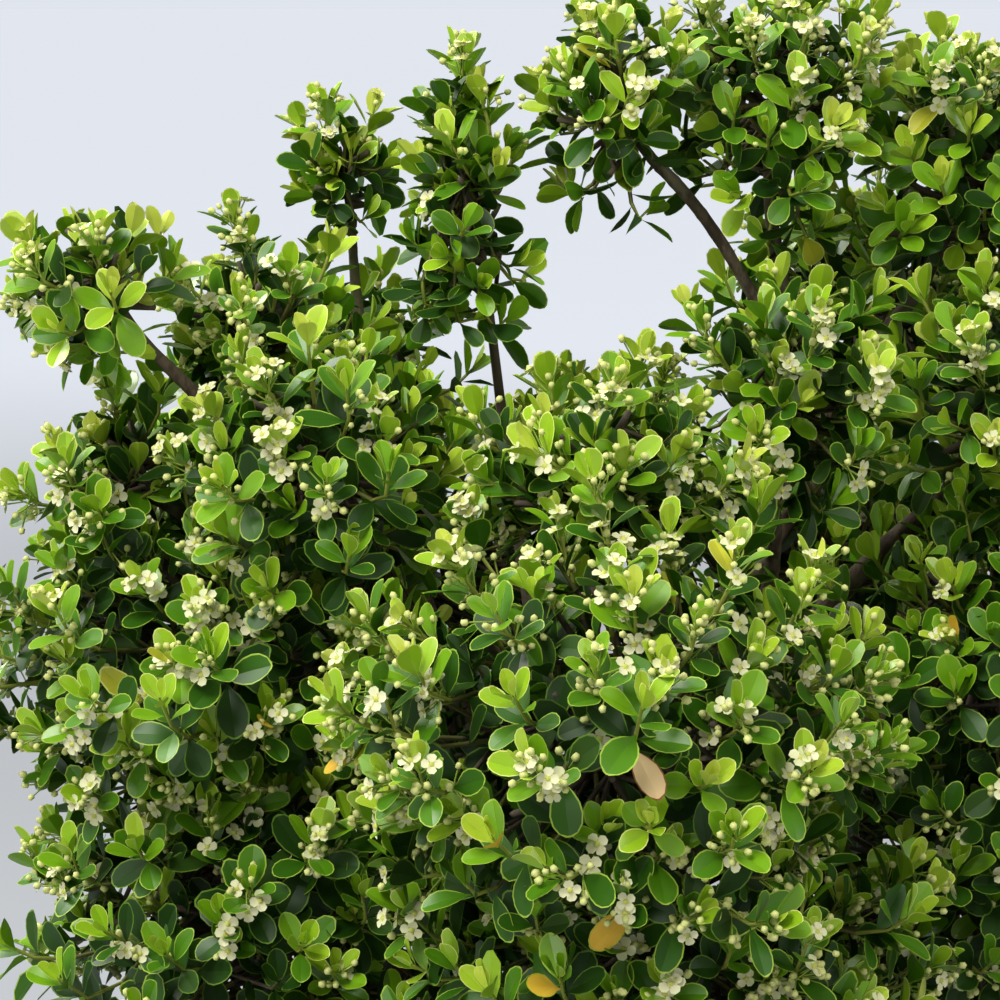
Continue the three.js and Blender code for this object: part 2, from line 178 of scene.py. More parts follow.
def firstDraw(seed, times=1664525, plus=1013904223, span=2 ** 32):
    # the first number that the solids' own dice give for a seed
    return (seed * times + plus) % span / span


# The crown's rule, as the solids have it: masses of foliage in cells, and boughs that reach them

crown = {
    "seed": 2311, "seedStep": 7919, "cellMargin": 0.4, "barely": 1e-6, "curveSteps": 201,
    "heart": np.array([0.0, 0.0, 390.0]), "heartReach": 78, "heartTall": 110,
    "stemTaper": 0.35, "stemRise": 0.25, "barePart": 0.4, "twigBend": 0.55, "twigSag": 0.09,
    "rings": [
        ("skirt", {"count": 5, "turn": 2, "out": 130, "height": 340, "reach": 99, "tall": 90}),
        ("waist", {"count": 5, "turn": 358, "out": 146, "height": 420, "reach": 96, "tall": 82}),
    ],
    "crests": [  # name, bearing, out, height, reach, tall
        ("left_shoulder", 305, 125, 490, 64, 54), ("front_crest", 354, 98, 488, 60, 46),
        ("right_crest", 35, 90, 518, 48, 46), ("right_shoulder", 75, 138, 504, 66, 60),
        ("back_right", 130, 135, 515, 80, 80), ("back_left", 232, 145, 490, 76, 60),
        ("back_dip", 185, 85, 468, 56, 46), ("left_flank", 285, 172, 478, 48, 44),
        ("left_crest", 284, 128, 530, 46, 45),
        ("left_tuft", 290, 186, 549, 36, 38), ("back_sprig", 242, 116, 582, 26, 30),
        ("spire", 288, 57, 577, 26, 81), ("arch", 350, 15, 608, 38, 46),
        ("top_right", 90, 54, 605, 54, 54), ("far_right", 95, 122, 585, 62, 60),
    ],
    "forks": {  # the limb that each bough leaves, and how far along that limb
        "back_left": ("trunk", 0.96), "back_right": ("trunk", 0.96), "left_shoulder": ("trunk", 0.96),
        "right_shoulder": ("trunk", 0.96), "front_crest": ("trunk", 0.96), "spire": ("trunk", 0.98),
        "far_right": ("trunk", 0.98), "top_right": ("far_right", 0.72), "arch": ("top_right", 0.55),
        "left_tuft": ("left_shoulder", 0.62), "left_crest": ("left_shoulder", 0.75),
        "left_flank": ("left_shoulder", 0.5), "back_sprig": ("back_left", 0.75),
        "right_crest": ("right_shoulder", 0.5), "back_dip": ("back_left", 0.4),
        "skirt_1": ("trunk", 0.5), "skirt_2": ("trunk", 0.62), "skirt_3": ("trunk", 0.5),
        "skirt_4": ("trunk", 0.62), "skirt_5": ("trunk", 0.56),
        "waist_1": ("front_crest", 0.34), "waist_2": ("right_shoulder", 0.3),
        "waist_3": ("back_right", 0.3), "waist_4": ("back_left", 0.3), "waist_5": ("left_shoulder", 0.34),
    },
}

limbSizes = {
    "soilLevel": 214, "clearance": 0.3, "trunkHeight": 74, "trunkLean": 9, "trunkRadius": 15,
    "forkRadius": 12, "flareRadius": 25, "flareHeight": 0.22, "boughTaper": 1.75, "boughTipRadius": 1,
    "boughSlimness": 34, "boughRise": 0.17, "rootShare": 0.8,
}


def massList():
    masses = []
    for name, ring in crown["rings"]:
        sizes = [ring[key] for key in ("out", "height", "reach", "tall")]
        for k in range(ring["count"]):
            masses.append((f"{name}_{k + 1}", ring["turn"] + 360 / ring["count"] * k, *sizes))
    masses += crown["crests"]
    return [{"name": name, "middle": atBearing(bearing, out, height), "reach": reach, "tall": tall,
             "seed": crown["seed"] + crown["seedStep"] * index}
            for index, (name, bearing, out, height, reach, tall) in enumerate(masses)]


def ellipsoidReach(mass, directions):
    level = (directions[..., 0] ** 2 + directions[..., 1] ** 2) / mass["reach"] ** 2
    return 1 / np.sqrt(level + directions[..., 2] ** 2 / mass["tall"] ** 2)


def addCells(masses):
    for mass in masses:
        normals, offsets = [], []
        for other in masses:
            if other is mass:
                continue
            apart = other["middle"] - mass["middle"]
            span = np.linalg.norm(apart)
            normal = apart / span
            near, far = ellipsoidReach(mass, normal), ellipsoidReach(other, normal)
            normals.append(normal)
            offsets.append((span ** 2 + near ** 2 - far ** 2) / (2 * span) - crown["cellMargin"])
        mass["normals"], mass["offsets"] = np.array(normals), np.array(offsets)


def cellReach(mass, directions):
    facing = directions @ mass["normals"].T
    reach = mass["offsets"] / np.maximum(facing, crown["barely"])
    walls = np.where(facing > crown["barely"], reach, np.inf)
    return np.minimum(ellipsoidReach(mass, directions), walls.min(axis=-1))


def inHeart(points):
    offset = points - crown["heart"]
    level = (offset[..., 0] ** 2 + offset[..., 1] ** 2) / crown["heartReach"] ** 2
    return level + offset[..., 2] ** 2 / crown["heartTall"] ** 2 < 1


def growLimbs(masses):
    sizes = limbSizes
    soil = sizes["soilLevel"]
    foot = np.array([0, 0, soil + sizes["clearance"]])
    bend = np.array([0, 0, soil + sizes["trunkHeight"] / 2])
    fork = np.array([-sizes["trunkLean"], sizes["trunkLean"] / 2, soil + sizes["trunkHeight"]])

    def trunkRadius(t):
        flare = np.maximum(0, 1 - t / sizes["flareHeight"]) ** 2
        taper = sizes["trunkRadius"] + (sizes["forkRadius"] - sizes["trunkRadius"]) * t
        return taper + (sizes["flareRadius"] - sizes["trunkRadius"]) * flare
    limbs = {"trunk": {"path": (foot, bend, fork), "radiusAt": trunkRadius}}
    byName = {mass["name"]: mass for mass in masses}
    for name, (parentName, along) in crown["forks"].items():
        mass, parent = byName[name], limbs[parentName]
        start, onward = evenPoint(parent["path"], along)
        inward = unit(start - mass["middle"])
        end = mass["middle"] + inward * cellReach(mass, inward)
        span = np.linalg.norm(end - start)
        bend = (start + end) / 2 + onward * sizes["boughRise"] * span
        tip = sizes["boughTipRadius"] + mass["reach"] / sizes["boughSlimness"]
        root = min(tip * sizes["boughTaper"], float(parent["radiusAt"](along)) * sizes["rootShare"])
        limbs[name] = {"path": (start, bend, end),
                       "radiusAt": lambda t, root=root, tip=tip: root + (tip - root) * t}
    return limbs


def evenPoint(path, along):
    # the point and direction at a share of a curve's length
    t = np.linspace(0, 1, crown["curveSteps"])
    points = bezier(*path, t)
    lengths = np.concatenate([[0], np.cumsum(np.linalg.norm(np.diff(points, axis=0), axis=1))])
    place = np.interp(along * lengths[-1], lengths, t)
    return bezier(*path, place), bezierTangent(*path, place)


def evenDirections(count, phase):
    step = np.arange(count)
    rise = 1 - 2 * (step + 0.5) / count
    level = np.sqrt(1 - rise ** 2)
    turn = phase + goldenAngle * step
    return np.stack([level * np.cos(turn), level * np.sin(turn), rise], axis=1)


masses = massList()
addCells(masses)
limbs = growLimbs(masses)
print("crown rule:", len(masses), "masses,", len(limbs) - 1, "boughs")


# Camera, at the photo's low angle, close to the front of the crown

view = {"target": (-43, -100, 485), "distance": 900, "elevation": 10, "width": 320, "sensor": 36,
        "pixels": 1000, "nearest": 0.02}

camera = bpy.data.objects.new("camera", bpy.data.cameras.new("camera"))
scene.collection.objects.link(camera)
viewRise = math.radians(view["elevation"])
viewBack = np.array([0, -math.cos(viewRise), math.sin(viewRise)])
viewUp = np.array([0, math.sin(viewRise), math.cos(viewRise)])
viewFrom = np.array(view["target"]) + view["distance"] * viewBack
camera.location = viewFrom * millimetre
camera.rotation_euler = (math.pi / 2 - viewRise, 0, 0)
camera.data.sensor_width = view["sensor"]
camera.data.lens = view["sensor"] * view["distance"] / view["width"]
camera.data.clip_start = view["nearest"]
scene.camera = camera


def onScreen(points):
    # where points fall in a square picture that is view["pixels"] wide
    offset = points - viewFrom
    scale = view["pixels"] * view["distance"] / view["width"] / (offset @ -viewBack)
    return view["pixels"] / 2 + scale * offset[..., 0], view["pixels"] / 2 - scale * (offset @ viewUp)


# Materials

def newMaterial(name, colour, roughness, **constants):
    material = bpy.data.materials.new(name)
    material.use_nodes = True
    shader = material.node_tree.nodes["Principled BSDF"]
    shader.inputs["Base Color"].default_value = colour
    shader.inputs["Roughness"].default_value = roughness
    for socket, value in constants.items():
        shader.inputs[socket.replace("_", " ")].default_value = value
    return material


leafLooks = {  # colour on screen, roughness, the gloss of the waxy skin, and the sheen under it
    "budLeaf": ((202, 216, 84), 0.34, 0.4, 0.5), "tipLeaf": ((176, 206, 52), 0.32, 0.45, 0.5),
    "youngLeaf": ((152, 192, 34), 0.32, 0.45, 0.5), "freshLeaf": ((116, 166, 20), 0.34, 0.4, 0.5),
    "midLeaf": ((76, 128, 12), 0.36, 0.0, 0.55), "matureLeaf": ((48, 95, 8), 0.4, 0.0, 0.42),
    "darkLeaf": ((30, 65, 7), 0.44, 0.0, 0.36), "dustyLeaf": ((47, 79, 20), 0.55, 0.0, 0.3),
    "agedLeaf": ((190, 190, 52), 0.42, 0.0, 0.4), "goldLeaf": ((230, 186, 60), 0.5, 0.0, 0.4),
    "dryLeaf": ((220, 192, 144), 0.75, 0.0, 0.2), "paleRim": ((218, 226, 126), 0.5, 0.0, 0.4),
    "greenRim": ((160, 190, 70), 0.5, 0.0, 0.4), "dullRim": ((104, 140, 46), 0.55, 0.0, 0.3),
    "brownRim": ((132, 88, 50), 0.7, 0.0, 0.2),
}
waxRoughness = 0.18
leafMaterials = {name: newMaterial(name, screen(*colour), roughness, Coat_Weight=coat,
                                   Coat_Roughness=waxRoughness, Specular_IOR_Level=sheen)
                 for name, (colour, roughness, coat, sheen) in leafLooks.items()}

twigLooks = {
    "greenShoot": ((150, 158, 66), 0.5), "oliveShoot": ((112, 112, 58), 0.6),
    "greyTwig": ((88, 78, 64), 0.85),
}

blossomLooks = {
    "petal": ((228, 228, 186), 0.65), "flowerHeart": ((200, 206, 96), 0.6),
    "flowerBud": ((218, 222, 140), 0.55), "pedicel": ((158, 180, 74), 0.55),
    "stamen": ((222, 212, 140), 0.6),
}


def plainMaterials(looks):
    return {name: newMaterial(name, screen(*colour), roughness)
            for name, (colour, roughness) in looks.items()}


def slotNumbers(looks):
    return {name: index for index, name in enumerate(looks)}


twigMaterials, blossomMaterials = plainMaterials(twigLooks), plainMaterials(blossomLooks)
leafSlot, twigSlot, blossomSlot = slotNumbers(leafLooks), slotNumbers(twigLooks), slotNumbers(blossomLooks)


# Leaves: a blade in two halves with a thin pale margin, cupped across and arched along

leafForms = {
    # stations along the leaf, and the blade's half width at each, as shares
    "fine": {"along": [0.0, 0.12, 0.28, 0.45, 0.63, 0.8, 0.93, 1.0],
             "wide": [0.05, 0.19, 0.6, 0.89, 1.0, 0.9, 0.6, 0.2], "rim": 0.1, "bare": 1},
    "plain": {"along": [0.0, 0.26, 0.6, 0.88, 1.0],
              "wide": [0.05, 0.6, 1.0, 0.74, 0.22], "rim": 0.11, "bare": 1},
    "inner": {"along": [0.0, 0.3, 0.72, 1.0], "wide": [0.05, 0.76, 0.98, 0.26], "rim": 0, "bare": 0},
}
leafSkin = {"leastWide": 0.03, "tipRim": 0.3, "ripple": 0.05, "ripples": 9, "rippleShift": 40}


def leafTemplate(form):
    # points as (along, across), and its faces, each marked where it is margin;
    # the two halves meet at the midrib without sharing points, so the fold stays sharp
    along, wide = np.array(form["along"]), np.array(form["wide"])
    last = len(along) - 1
    inset = np.where(np.arange(last + 1) <= form["bare"], 0, form["rim"])
    inner = np.maximum(wide - inset, leafSkin["leastWide"])
    innerAlong = along.copy()
    innerAlong[-1] -= form["rim"] * leafSkin["tipRim"]
    points, quads = [], []
    for hand in (1, -1):
        columns = [(innerAlong, 0 * wide), (innerAlong, hand * inner)]
        if form["rim"]:
            columns.append((along, hand * wide))
        first = len(points)
        index = first + np.arange((last + 1) * len(columns)).reshape(last + 1, len(columns))
        points += [(x[k], y[k]) for k in range(last + 1) for x, y in columns]
        for c in range(len(columns) - 1):
            for k in range(form["bare"] if c else 0, last):
                face = [index[k, c], index[k, c + 1], index[k + 1, c + 1], index[k + 1, c]]
                quads.append((face[::hand], c == 1))
        if form["rim"]:
            points.append((1.0, 0.0))
            face = [index[last, 0], index[last, 1], index[last, 2], len(points) - 1]
            quads.append((face[::hand], True))
    return {"points": np.array(points), "quads": np.array([face for face, _ in quads]),
            "quadRim": np.array([isRim for _, isRim in quads])}


leafTemplates = {name: leafTemplate(form) for name, form in leafForms.items()}
rimOf = {"budLeaf": "paleRim", "tipLeaf": "paleRim", "youngLeaf": "paleRim", "freshLeaf": "greenRim",
         "midLeaf": "greenRim", "matureLeaf": "greenRim", "darkLeaf": "dullRim", "dustyLeaf": "dullRim",
         "agedLeaf": "paleRim", "goldLeaf": "agedLeaf", "dryLeaf": "brownRim"}
rimSlots = np.array([leafSlot[rimOf.get(name, name)] for name in leafLooks])


def leafAxes(leaves):
    # unit vectors along each leaf, out of its face and across it
    along = unit(leaves["along"])
    face = unit(leaves["face"] - dot(leaves["face"], along) * along)
    return along, face, np.cross(face, along)


def addLeaves(parts, leaves, formName):
    # leaves holds arrays: root, along, face, length, width, cup, arch, slot
    count = len(leaves["length"])
    if count == 0:
        return
    form = leafTemplates[formName]
    along, face, side = leafAxes(leaves)
    x, y = form["points"][:, 0], form["points"][:, 1]
    length = leaves["length"][:, None]
    half = leaves["width"][:, None] / 2
    lift = leaves["cup"][:, None] * half * np.abs(y) + leaves["arch"][:, None] * length * x ** 2
    wave = np.sin(leafSkin["ripples"] * x + leafSkin["rippleShift"] * length)
    ripple = leafSkin["ripple"] * half * wave * np.abs(y)
    points = (leaves["root"][:, None] + along[:, None] * (length * x)[..., None]
              + side[:, None] * (half * y)[..., None] + face[:, None] * (lift + ripple)[..., None])
    faces = (np.arange(count)[:, None, None] * len(x) + form["quads"][None]).reshape(-1, 4)
    slots = np.where(form["quadRim"][None], rimSlots[leaves["slot"]][:, None], leaves["slot"][:, None])
    addPart(parts, points, faces, slots.ravel())


# Growth inside a mass: a stem, twigs from the stem, and leafy shoots from the twigs

growth = {
    "twigArea": 2500, "fewestTwigs": 5, "twigRoom": 16, "twigReach": 0.6, "twigSway": 0.07, "stemRoot": 2,
    "twigHolds": (0.3, 1, 8), "stemHolds": (0.5, 1, 6),
    "shootArea": 700, "fewestShoots": 4, "shootRoom": 12,
    "leaderShare": 0.42, "leaderReach": (0.9, 1.04), "bodyReach": (0.68, 0.9),
    "leaderLength": (46, 76), "bodyLength": (30, 52), "leaderLeaves": (40, 60), "bodyLeaves": (24, 42),
    "lump": 0.12, "lumpScale": 2.6, "lumpShifts": 89, "lumpSink": 0.02, "lumpFree": 0.9,
    "innerArea": 1000, "innerReach": (0.45, 0.72), "innerLength": 0.6, "openness": 0.42,
    "underFrom": -0.55, "underShare": 0.55, "tipRoom": 5, "leastReach": 6, "boxRoom": 3, "longest": 0.9,
    "agreement": 16, "aimSway": 0.06, "headingOut": 0.5, "headingUp": 0.75, "headingSway": 0.22,
    "bend": 0.45, "size": (0.84, 1.14), "anyTurn": 7,
    "sprigReach": 50, "sprigBody": (0.48, 0.86), "sprigLeaders": 0.5, "sprigInner": 1500,
}

shootLeaves = {  # from the tip down: how far below it, leaf length, and angle from the shoot
    "spacing": [0.3, 0.9, 1.8, 3.2, 5.2, 7.8, 10.8, 14.2, 17.8, 21.6, 25.6, 30, 34.5, 39, 44, 49, 54],
    "length": [7.0, 9.8, 11.6, 12.8, 13.4, 13.8, 14.2, 14.8, 15.2, 15.6, 16.0, 16.2, 16.4, 16.6, 16.6, 16.6,
               16.6],
    "angle": [10, 22, 32, 40, 46, 51, 55, 59, 62, 65, 68, 70, 72, 74, 76, 78, 78],
    "spacingBase": 0.9, "spacingBySize": 0.2, "innerSpacing": 1.25, "innerFirst": 2, "always": 3,
    "deepest": 0.9, "whole": 1.04, "width": 0.56, "lengthSway": (0.88, 1.12), "widthSway": (0.9, 1.08),
    "turnSway": 0.18, "angleSway": 6, "stand": 0.5, "lift": 0.12, "nudge": 1e-3, "youngRanks": 5,
    "faceOnward": 0.75, "faceUp": 0.45, "faceOut": 0.35, "faceSway": 0.14,
    "cup": 0.2, "youngCup": 0.32, "cupSway": 0.06, "youngArch": 0.16, "oldDroop": 0.14, "archSway": 0.05,
}


def growMass(mass, rng):
    sizes = growth
    bough = limbs[mass["name"]]
    tip, onward = evenPoint(bough["path"], 1.0)
    crest = mass["middle"] + up * crown["stemRise"] * mass["tall"]
    root = tip - onward * sizes["stemRoot"]
    stem = (root, root + onward * np.linalg.norm(crest - root) / 2, crest)
    phase = firstDraw(mass["seed"]) * 2 * math.pi
    area = 4 * math.pi * mass["reach"] * mass["tall"]

    aims = evenDirections(max(sizes["fewestTwigs"], round(area / sizes["twigArea"])), phase)
    rooms = cellReach(mass, aims)
    ends = mass["middle"] + aims * (rooms * sizes["twigReach"])[:, None]
    keep = (rooms > sizes["twigRoom"]) & ~inHeart(ends)
    aims, ends = aims[keep], ends[keep]
    along = crown["barePart"] + (1 - crown["barePart"]) * (1 + aims[:, 2]) / 2
    starts = bezier(*stem, along)
    span = np.linalg.norm(ends - starts, axis=1)[:, None]
    bends = starts + (ends - starts) * crown["twigBend"] - up * crown["twigSag"] * span
    bends += rng.normal(0, sizes["twigSway"], bends.shape) * span

    t = np.linspace(*sizes["twigHolds"])
    twigPoints = bezier(starts[:, None], bends[:, None], ends[:, None], t[None])
    stemPoints = bezier(*stem, np.linspace(*sizes["stemHolds"]))
    holds = np.concatenate([twigPoints.reshape(-1, 3), stemPoints])

    outer = growShoots(mass, holds, area / sizes["shootArea"], phase + 1, rng, True)
    innerArea = sizes["sprigInner" if isSprig(mass) else "innerArea"]
    inner = growShoots(mass, holds, area / innerArea, phase + 2, rng, False)
    return {"stem": stem, "stemRadius": float(bough["radiusAt"](1.0)), "outer": outer, "inner": inner,
            "twigs": {"start": starts, "bend": bends, "end": ends}}


def isSprig(mass):
    # a small mass is looser than a large one
    return mass["reach"] < growth["sprigReach"]


def growShoots(mass, holds, count, phase, rng, isOuter):
    sizes = growth
    count = max(sizes["fewestShoots"], round(count))
    stretch = (1, 1, mass["tall"] / mass["reach"])  # spreads the shoots evenly over a slender mass too
    sway = rng.normal(0, sizes["aimSway"], (count, 3))
    aims = unit(unit(evenDirections(count, phase) * stretch) + sway)
    rooms = cellReach(mass, aims)
    openness = rooms / ellipsoidReach(mass, aims)
    keep = rooms > sizes["shootRoom"]
    if isOuter:
        keep &= ~inHeart(mass["middle"] + aims * rooms[:, None])
        keep &= openness > sizes["openness"]
        spared = rng.random(len(aims)) < sizes["underShare"]
        keep &= (aims[:, 2] > sizes["underFrom"]) | spared | isSprig(mass)
    aims, rooms, openness = aims[keep], rooms[keep], openness[keep]
    count = len(aims)
    leads = (rng.random(count) < sizes["sprigLeaders" if isSprig(mass) else "leaderShare"]) & isOuter

    def drawn(leader, body):
        # one range for the shoots that lead, another for the rest
        return np.where(leads, rng.uniform(*sizes[leader], count), rng.uniform(*sizes[body], count))
    share = drawn("leaderReach", "sprigBody" if isSprig(mass) else "bodyReach")
    if not isOuter:
        share = rng.uniform(*sizes["innerReach"], count)
    shift = Vector((mass["seed"] % sizes["lumpShifts"], 0, 0))
    lump = np.array([noise.noise(Vector(aim) * sizes["lumpScale"] + shift) for aim in aims])
    share += (lump * sizes["lump"] - sizes["lumpSink"]) * (openness > sizes["lumpFree"])
    reach = np.maximum(rooms * share - sizes["tipRoom"] * isOuter, sizes["leastReach"])
    tips = mass["middle"] + aims * reach[:, None]
    tips = np.clip(tips, boxLow + sizes["boxRoom"], boxHigh - sizes["boxRoom"])
    wanted = drawn("leaderLength", "bodyLength") * (1 if isOuter else sizes["innerLength"])
    wanted = np.minimum(wanted, rooms * sizes["longest"])
    leafy = drawn("leaderLeaves", "bodyLeaves")
    apart = tips[:, None] - holds[None]
    distance = np.linalg.norm(apart, axis=2)
    agreement = (apart * aims[:, None]).sum(axis=2) / np.maximum(distance, crown["barely"])
    pick = np.argmin(np.abs(distance - wanted[:, None]) - sizes["agreement"] * agreement, axis=1)
    starts = holds[pick]
    span = np.linalg.norm(tips - starts, axis=1)
    heading = unit(aims * sizes["headingOut"] + up * sizes["headingUp"]
                   + rng.normal(0, sizes["headingSway"], aims.shape))
    bends = tips - heading * span[:, None] * sizes["bend"]
    return {"start": starts, "bend": bends, "end": tips, "aim": aims, "span": span,
            "size": rng.uniform(*sizes["size"], count), "turn": rng.uniform(0, sizes["anyTurn"], count),
            "dark": rng.random(count), "leafy": leafy}


def leavesOn(shoots, rng, isOuter):
    # every leaf of every shoot, rank by rank from the tip down
    sizes = shootLeaves
    count = len(shoots["span"])
    leafy = np.minimum(shoots["leafy"], shoots["span"] * sizes["deepest"])
    ends = [shoots[key][:, None] for key in ("start", "bend", "end")]
    found = []
    first = 0 if isOuter else sizes["innerFirst"]
    for rank in range(first, len(sizes["spacing"])):
        below = sizes["spacing"][rank] * (sizes["spacingBase"] + sizes["spacingBySize"] * shoots["size"])
        below = below * (1 if isOuter else sizes["innerSpacing"])
        keep = (below < leafy) | (rank < first + sizes["always"])
        below = np.minimum(below, shoots["span"] * sizes["deepest"])
        t = 1 - below / np.maximum(shoots["span"] * sizes["whole"], crown["barely"])
        point = bezier(*ends, t[:, None])[:, 0]
        tangent = bezierTangent(*ends, t[:, None])[:, 0]
        across = unit(np.cross(tangent, unit(np.cross(shoots["aim"], up) + sizes["nudge"])))
        other = np.cross(tangent, across)
        turn = (shoots["turn"] + rank * goldenAngle + rng.normal(0, sizes["turnSway"], count))[:, None]
        radial = np.cos(turn) * across + np.sin(turn) * other
        angle = np.radians(sizes["angle"][rank] + rng.normal(0, sizes["angleSway"], count))[:, None]
        along = unit(np.cos(angle) * tangent + np.sin(angle) * radial + up * sizes["lift"])
        face = (tangent * sizes["faceOnward"] + up * sizes["faceUp"] + shoots["aim"] * sizes["faceOut"]
                + rng.normal(0, sizes["faceSway"], tangent.shape))
        length = sizes["length"][rank] * shoots["size"] * rng.uniform(*sizes["lengthSway"], count)
        width = length * sizes["width"] * rng.uniform(*sizes["widthSway"], count)
        young = max(0.0, 1 - rank / sizes["youngRanks"])
        cup = sizes["cup"] + sizes["youngCup"] * young + rng.normal(0, sizes["cupSway"], count)
        arch = sizes["youngArch"] * young - sizes["oldDroop"] * (1 - young)
        arch = arch + rng.normal(0, sizes["archSway"], count)
        leaves = {
            "root": point + radial * sizes["stand"], "along": along, "face": face, "length": length,
            "width": width, "cup": cup, "arch": arch, "rank": np.full(count, rank),
            "shoot": np.arange(count), "dark": shoots["dark"], "aim": shoots["aim"],
        }
        found.append({key: value[keep] for key, value in leaves.items()})
    return {key: np.concatenate([leaves[key] for leaves in found]) for key in found[0]}


# What can be seen of the leaves: those deep inside get plainer blades or none

sight = {
    "leafMiddle": 0.56, "halfLong": 0.46, "halfWide": 0.48, "leastSlope": 0.08, "batch": 96, "clear": 1.0,
    "aside": 0.8, "above": 0.8, "below": 0.6, "inward": -0.2, "fineSide": 70,
    "flatten": (1, 1, 0.4), "lookDown": 12,
}


def isCovered(points, directions, leaves, clear=sight["clear"]):
    # which points have a leaf in front of them, each looked at from its own direction
    points, directions = points.astype(np.float32), directions.astype(np.float32)
    leaves = {key: leaves[key].astype(np.float32) for key in ("root", "along", "face", "length", "width")}
    along, face, side = leafAxes(leaves)
    middle = leaves["root"] + along * leaves["length"][:, None] * sight["leafMiddle"]
    halfLong, halfWide = leaves["length"] * sight["halfLong"], leaves["width"] * sight["halfWide"]
    leastSlope = np.float32(sight["leastSlope"])
    covered = np.zeros(len(points), bool)
    for some in np.array_split(np.arange(len(points)), len(points) // sight["batch"] + 1):
        spots, ways = points[some], directions[some]
        slope = ways @ face.T
        slope = np.where(np.abs(slope) < leastSlope, leastSlope, slope)
        depth = ((middle * face).sum(axis=1) - spots @ face.T) / slope
        onAlong = spots @ along.T + depth * (ways @ along.T) - (middle * along).sum(axis=1)
        onSide = spots @ side.T + depth * (ways @ side.T) - (middle * side).sum(axis=1)
        hit = (onAlong / halfLong) ** 2 + (onSide / halfWide) ** 2 < 1
        covered[some] = (hit & (depth > clear)).any(axis=1)
    return covered


def outOfSight(points, ways, leaves):
    # the numbers of the points that have a leaf in front of them along each of the ways
    left = np.arange(len(points))
    for way in ways:
        left = left[isCovered(points[left], way[left], leaves)]
    return left


def leafMiddles(leaves):
    return leaves["root"] + unit(leaves["along"]) * leaves["length"][:, None] * 0.5


def wayOut(points):
    # where someone outside the crown would look in from, at each point
    return unit((points - crown["heart"]) * sight["flatten"] + up * sight["lookDown"])


def sortBySight(mass, parts):
    # the leaves that show from the front, those that show from outside the crown, and those half hidden
    both = {key: np.concatenate([parts["outerLeaves"][key], parts["innerLeaves"][key]])
            for key in parts["outerLeaves"]}
    middles = leafMiddles(both)
    outside = wayOut(middles)
    aside = np.cross(outside, up) * sight["aside"]
    dim = outOfSight(middles, [outside, unit(outside + up * sight["above"])], both)
    ways = [outside - up * sight["below"], outside + aside, outside - aside]
    buried = dim[outOfSight(middles[dim], [unit(way)[dim] for way in ways], both)]
    fine = np.zeros(len(middles), bool)
    if mass["middle"][1] < sight["fineSide"]:
        fine = ~isCovered(middles, unit(viewFrom - middles), both)
    shown, kept = np.ones((2, len(middles)), bool)
    shown[dim] = False
    shown &= (outside * both["aim"]).sum(axis=1) > sight["inward"]
    kept[buried] = False
    return both, {"fine": fine, "plain": shown & ~fine, "inner": kept & ~shown & ~fine}


# Colours dealt by age: young leaves at the tip are lime, the last year's below them dark and dusty. Painted
# light makes the top of the crown lighter; painted shade darkens the lower crown, the shoots that point down
# under it and the leaves inside it, which are older too

leafAges = {  # in steps of the order of colours; high and low are a height, a reach and the steps they add: high is painted light on the top of the crown, low is painted shade on the lower crown. The steps for shoots facing down and for inner leaves are painted shade under and inside the crown; the inner leaves are older as well
    "order": ["budLeaf", "tipLeaf", "youngLeaf", "freshLeaf", "midLeaf", "matureLeaf", "darkLeaf"],
    "rank": 0.52, "first": 0.75, "shoot": 2.2, "sway": 0.35, "facingDown": -0.2, "paintedUnderShade": 0.8, "inner": 3.2,
    "high": (470, 110, 0.6), "low": (430, 120, 0.45), "dustyFrom": 5, "dusty": 0.12, "agedFrom": 4,
    "aged": 0.997,
}


def leafColours(leaves, rng, isOuter):
    ages = leafAges
    height = leaves["root"][:, 2]
    age = leaves["rank"] * ages["rank"] + ages["first"] + (leaves["dark"] - 0.5) * ages["shoot"]
    age += rng.normal(0, ages["sway"], len(age))
    high, low = ages["high"], ages["low"]  # painted light on the crown's top, painted shade on its lower part
    # painted light: leaves above the given height are drawn lighter; painted shade: leaves below the lower
    # height are drawn darker
    paintedTopLight = np.clip((height - high[0]) / high[1], 0, 1) * high[2]
    paintedLowShade = np.clip((low[0] - height) / low[1], 0, 1) * low[2]
    # painted shade: leaves on shoots that point down, under the crown, are drawn darker
    paintedUnderShade = np.where(leaves["aim"][:, 2] < ages["facingDown"], ages["paintedUnderShade"], 0)
    # inner leaves are drawn darker, partly as older leaves and partly as painted shade inside the crown
    age += paintedUnderShade + (0 if isOuter else ages["inner"]) - paintedTopLight + paintedLowShade
    step = np.clip(np.round(age), 0, len(ages["order"]) - 1).astype(int)
    slot = np.array([leafSlot[name] for name in ages["order"]])[step]
    chance = rng.random(len(slot))
    slot = np.where((step >= ages["dustyFrom"]) & (chance < ages["dusty"]), leafSlot["dustyLeaf"], slot)
    return np.where((step >= ages["agedFrom"]) & (chance > ages["aged"]), leafSlot["agedLeaf"], slot)


# Blossom: small four-petalled flowers and round buds on thin stalks, in clusters at the leaf joints

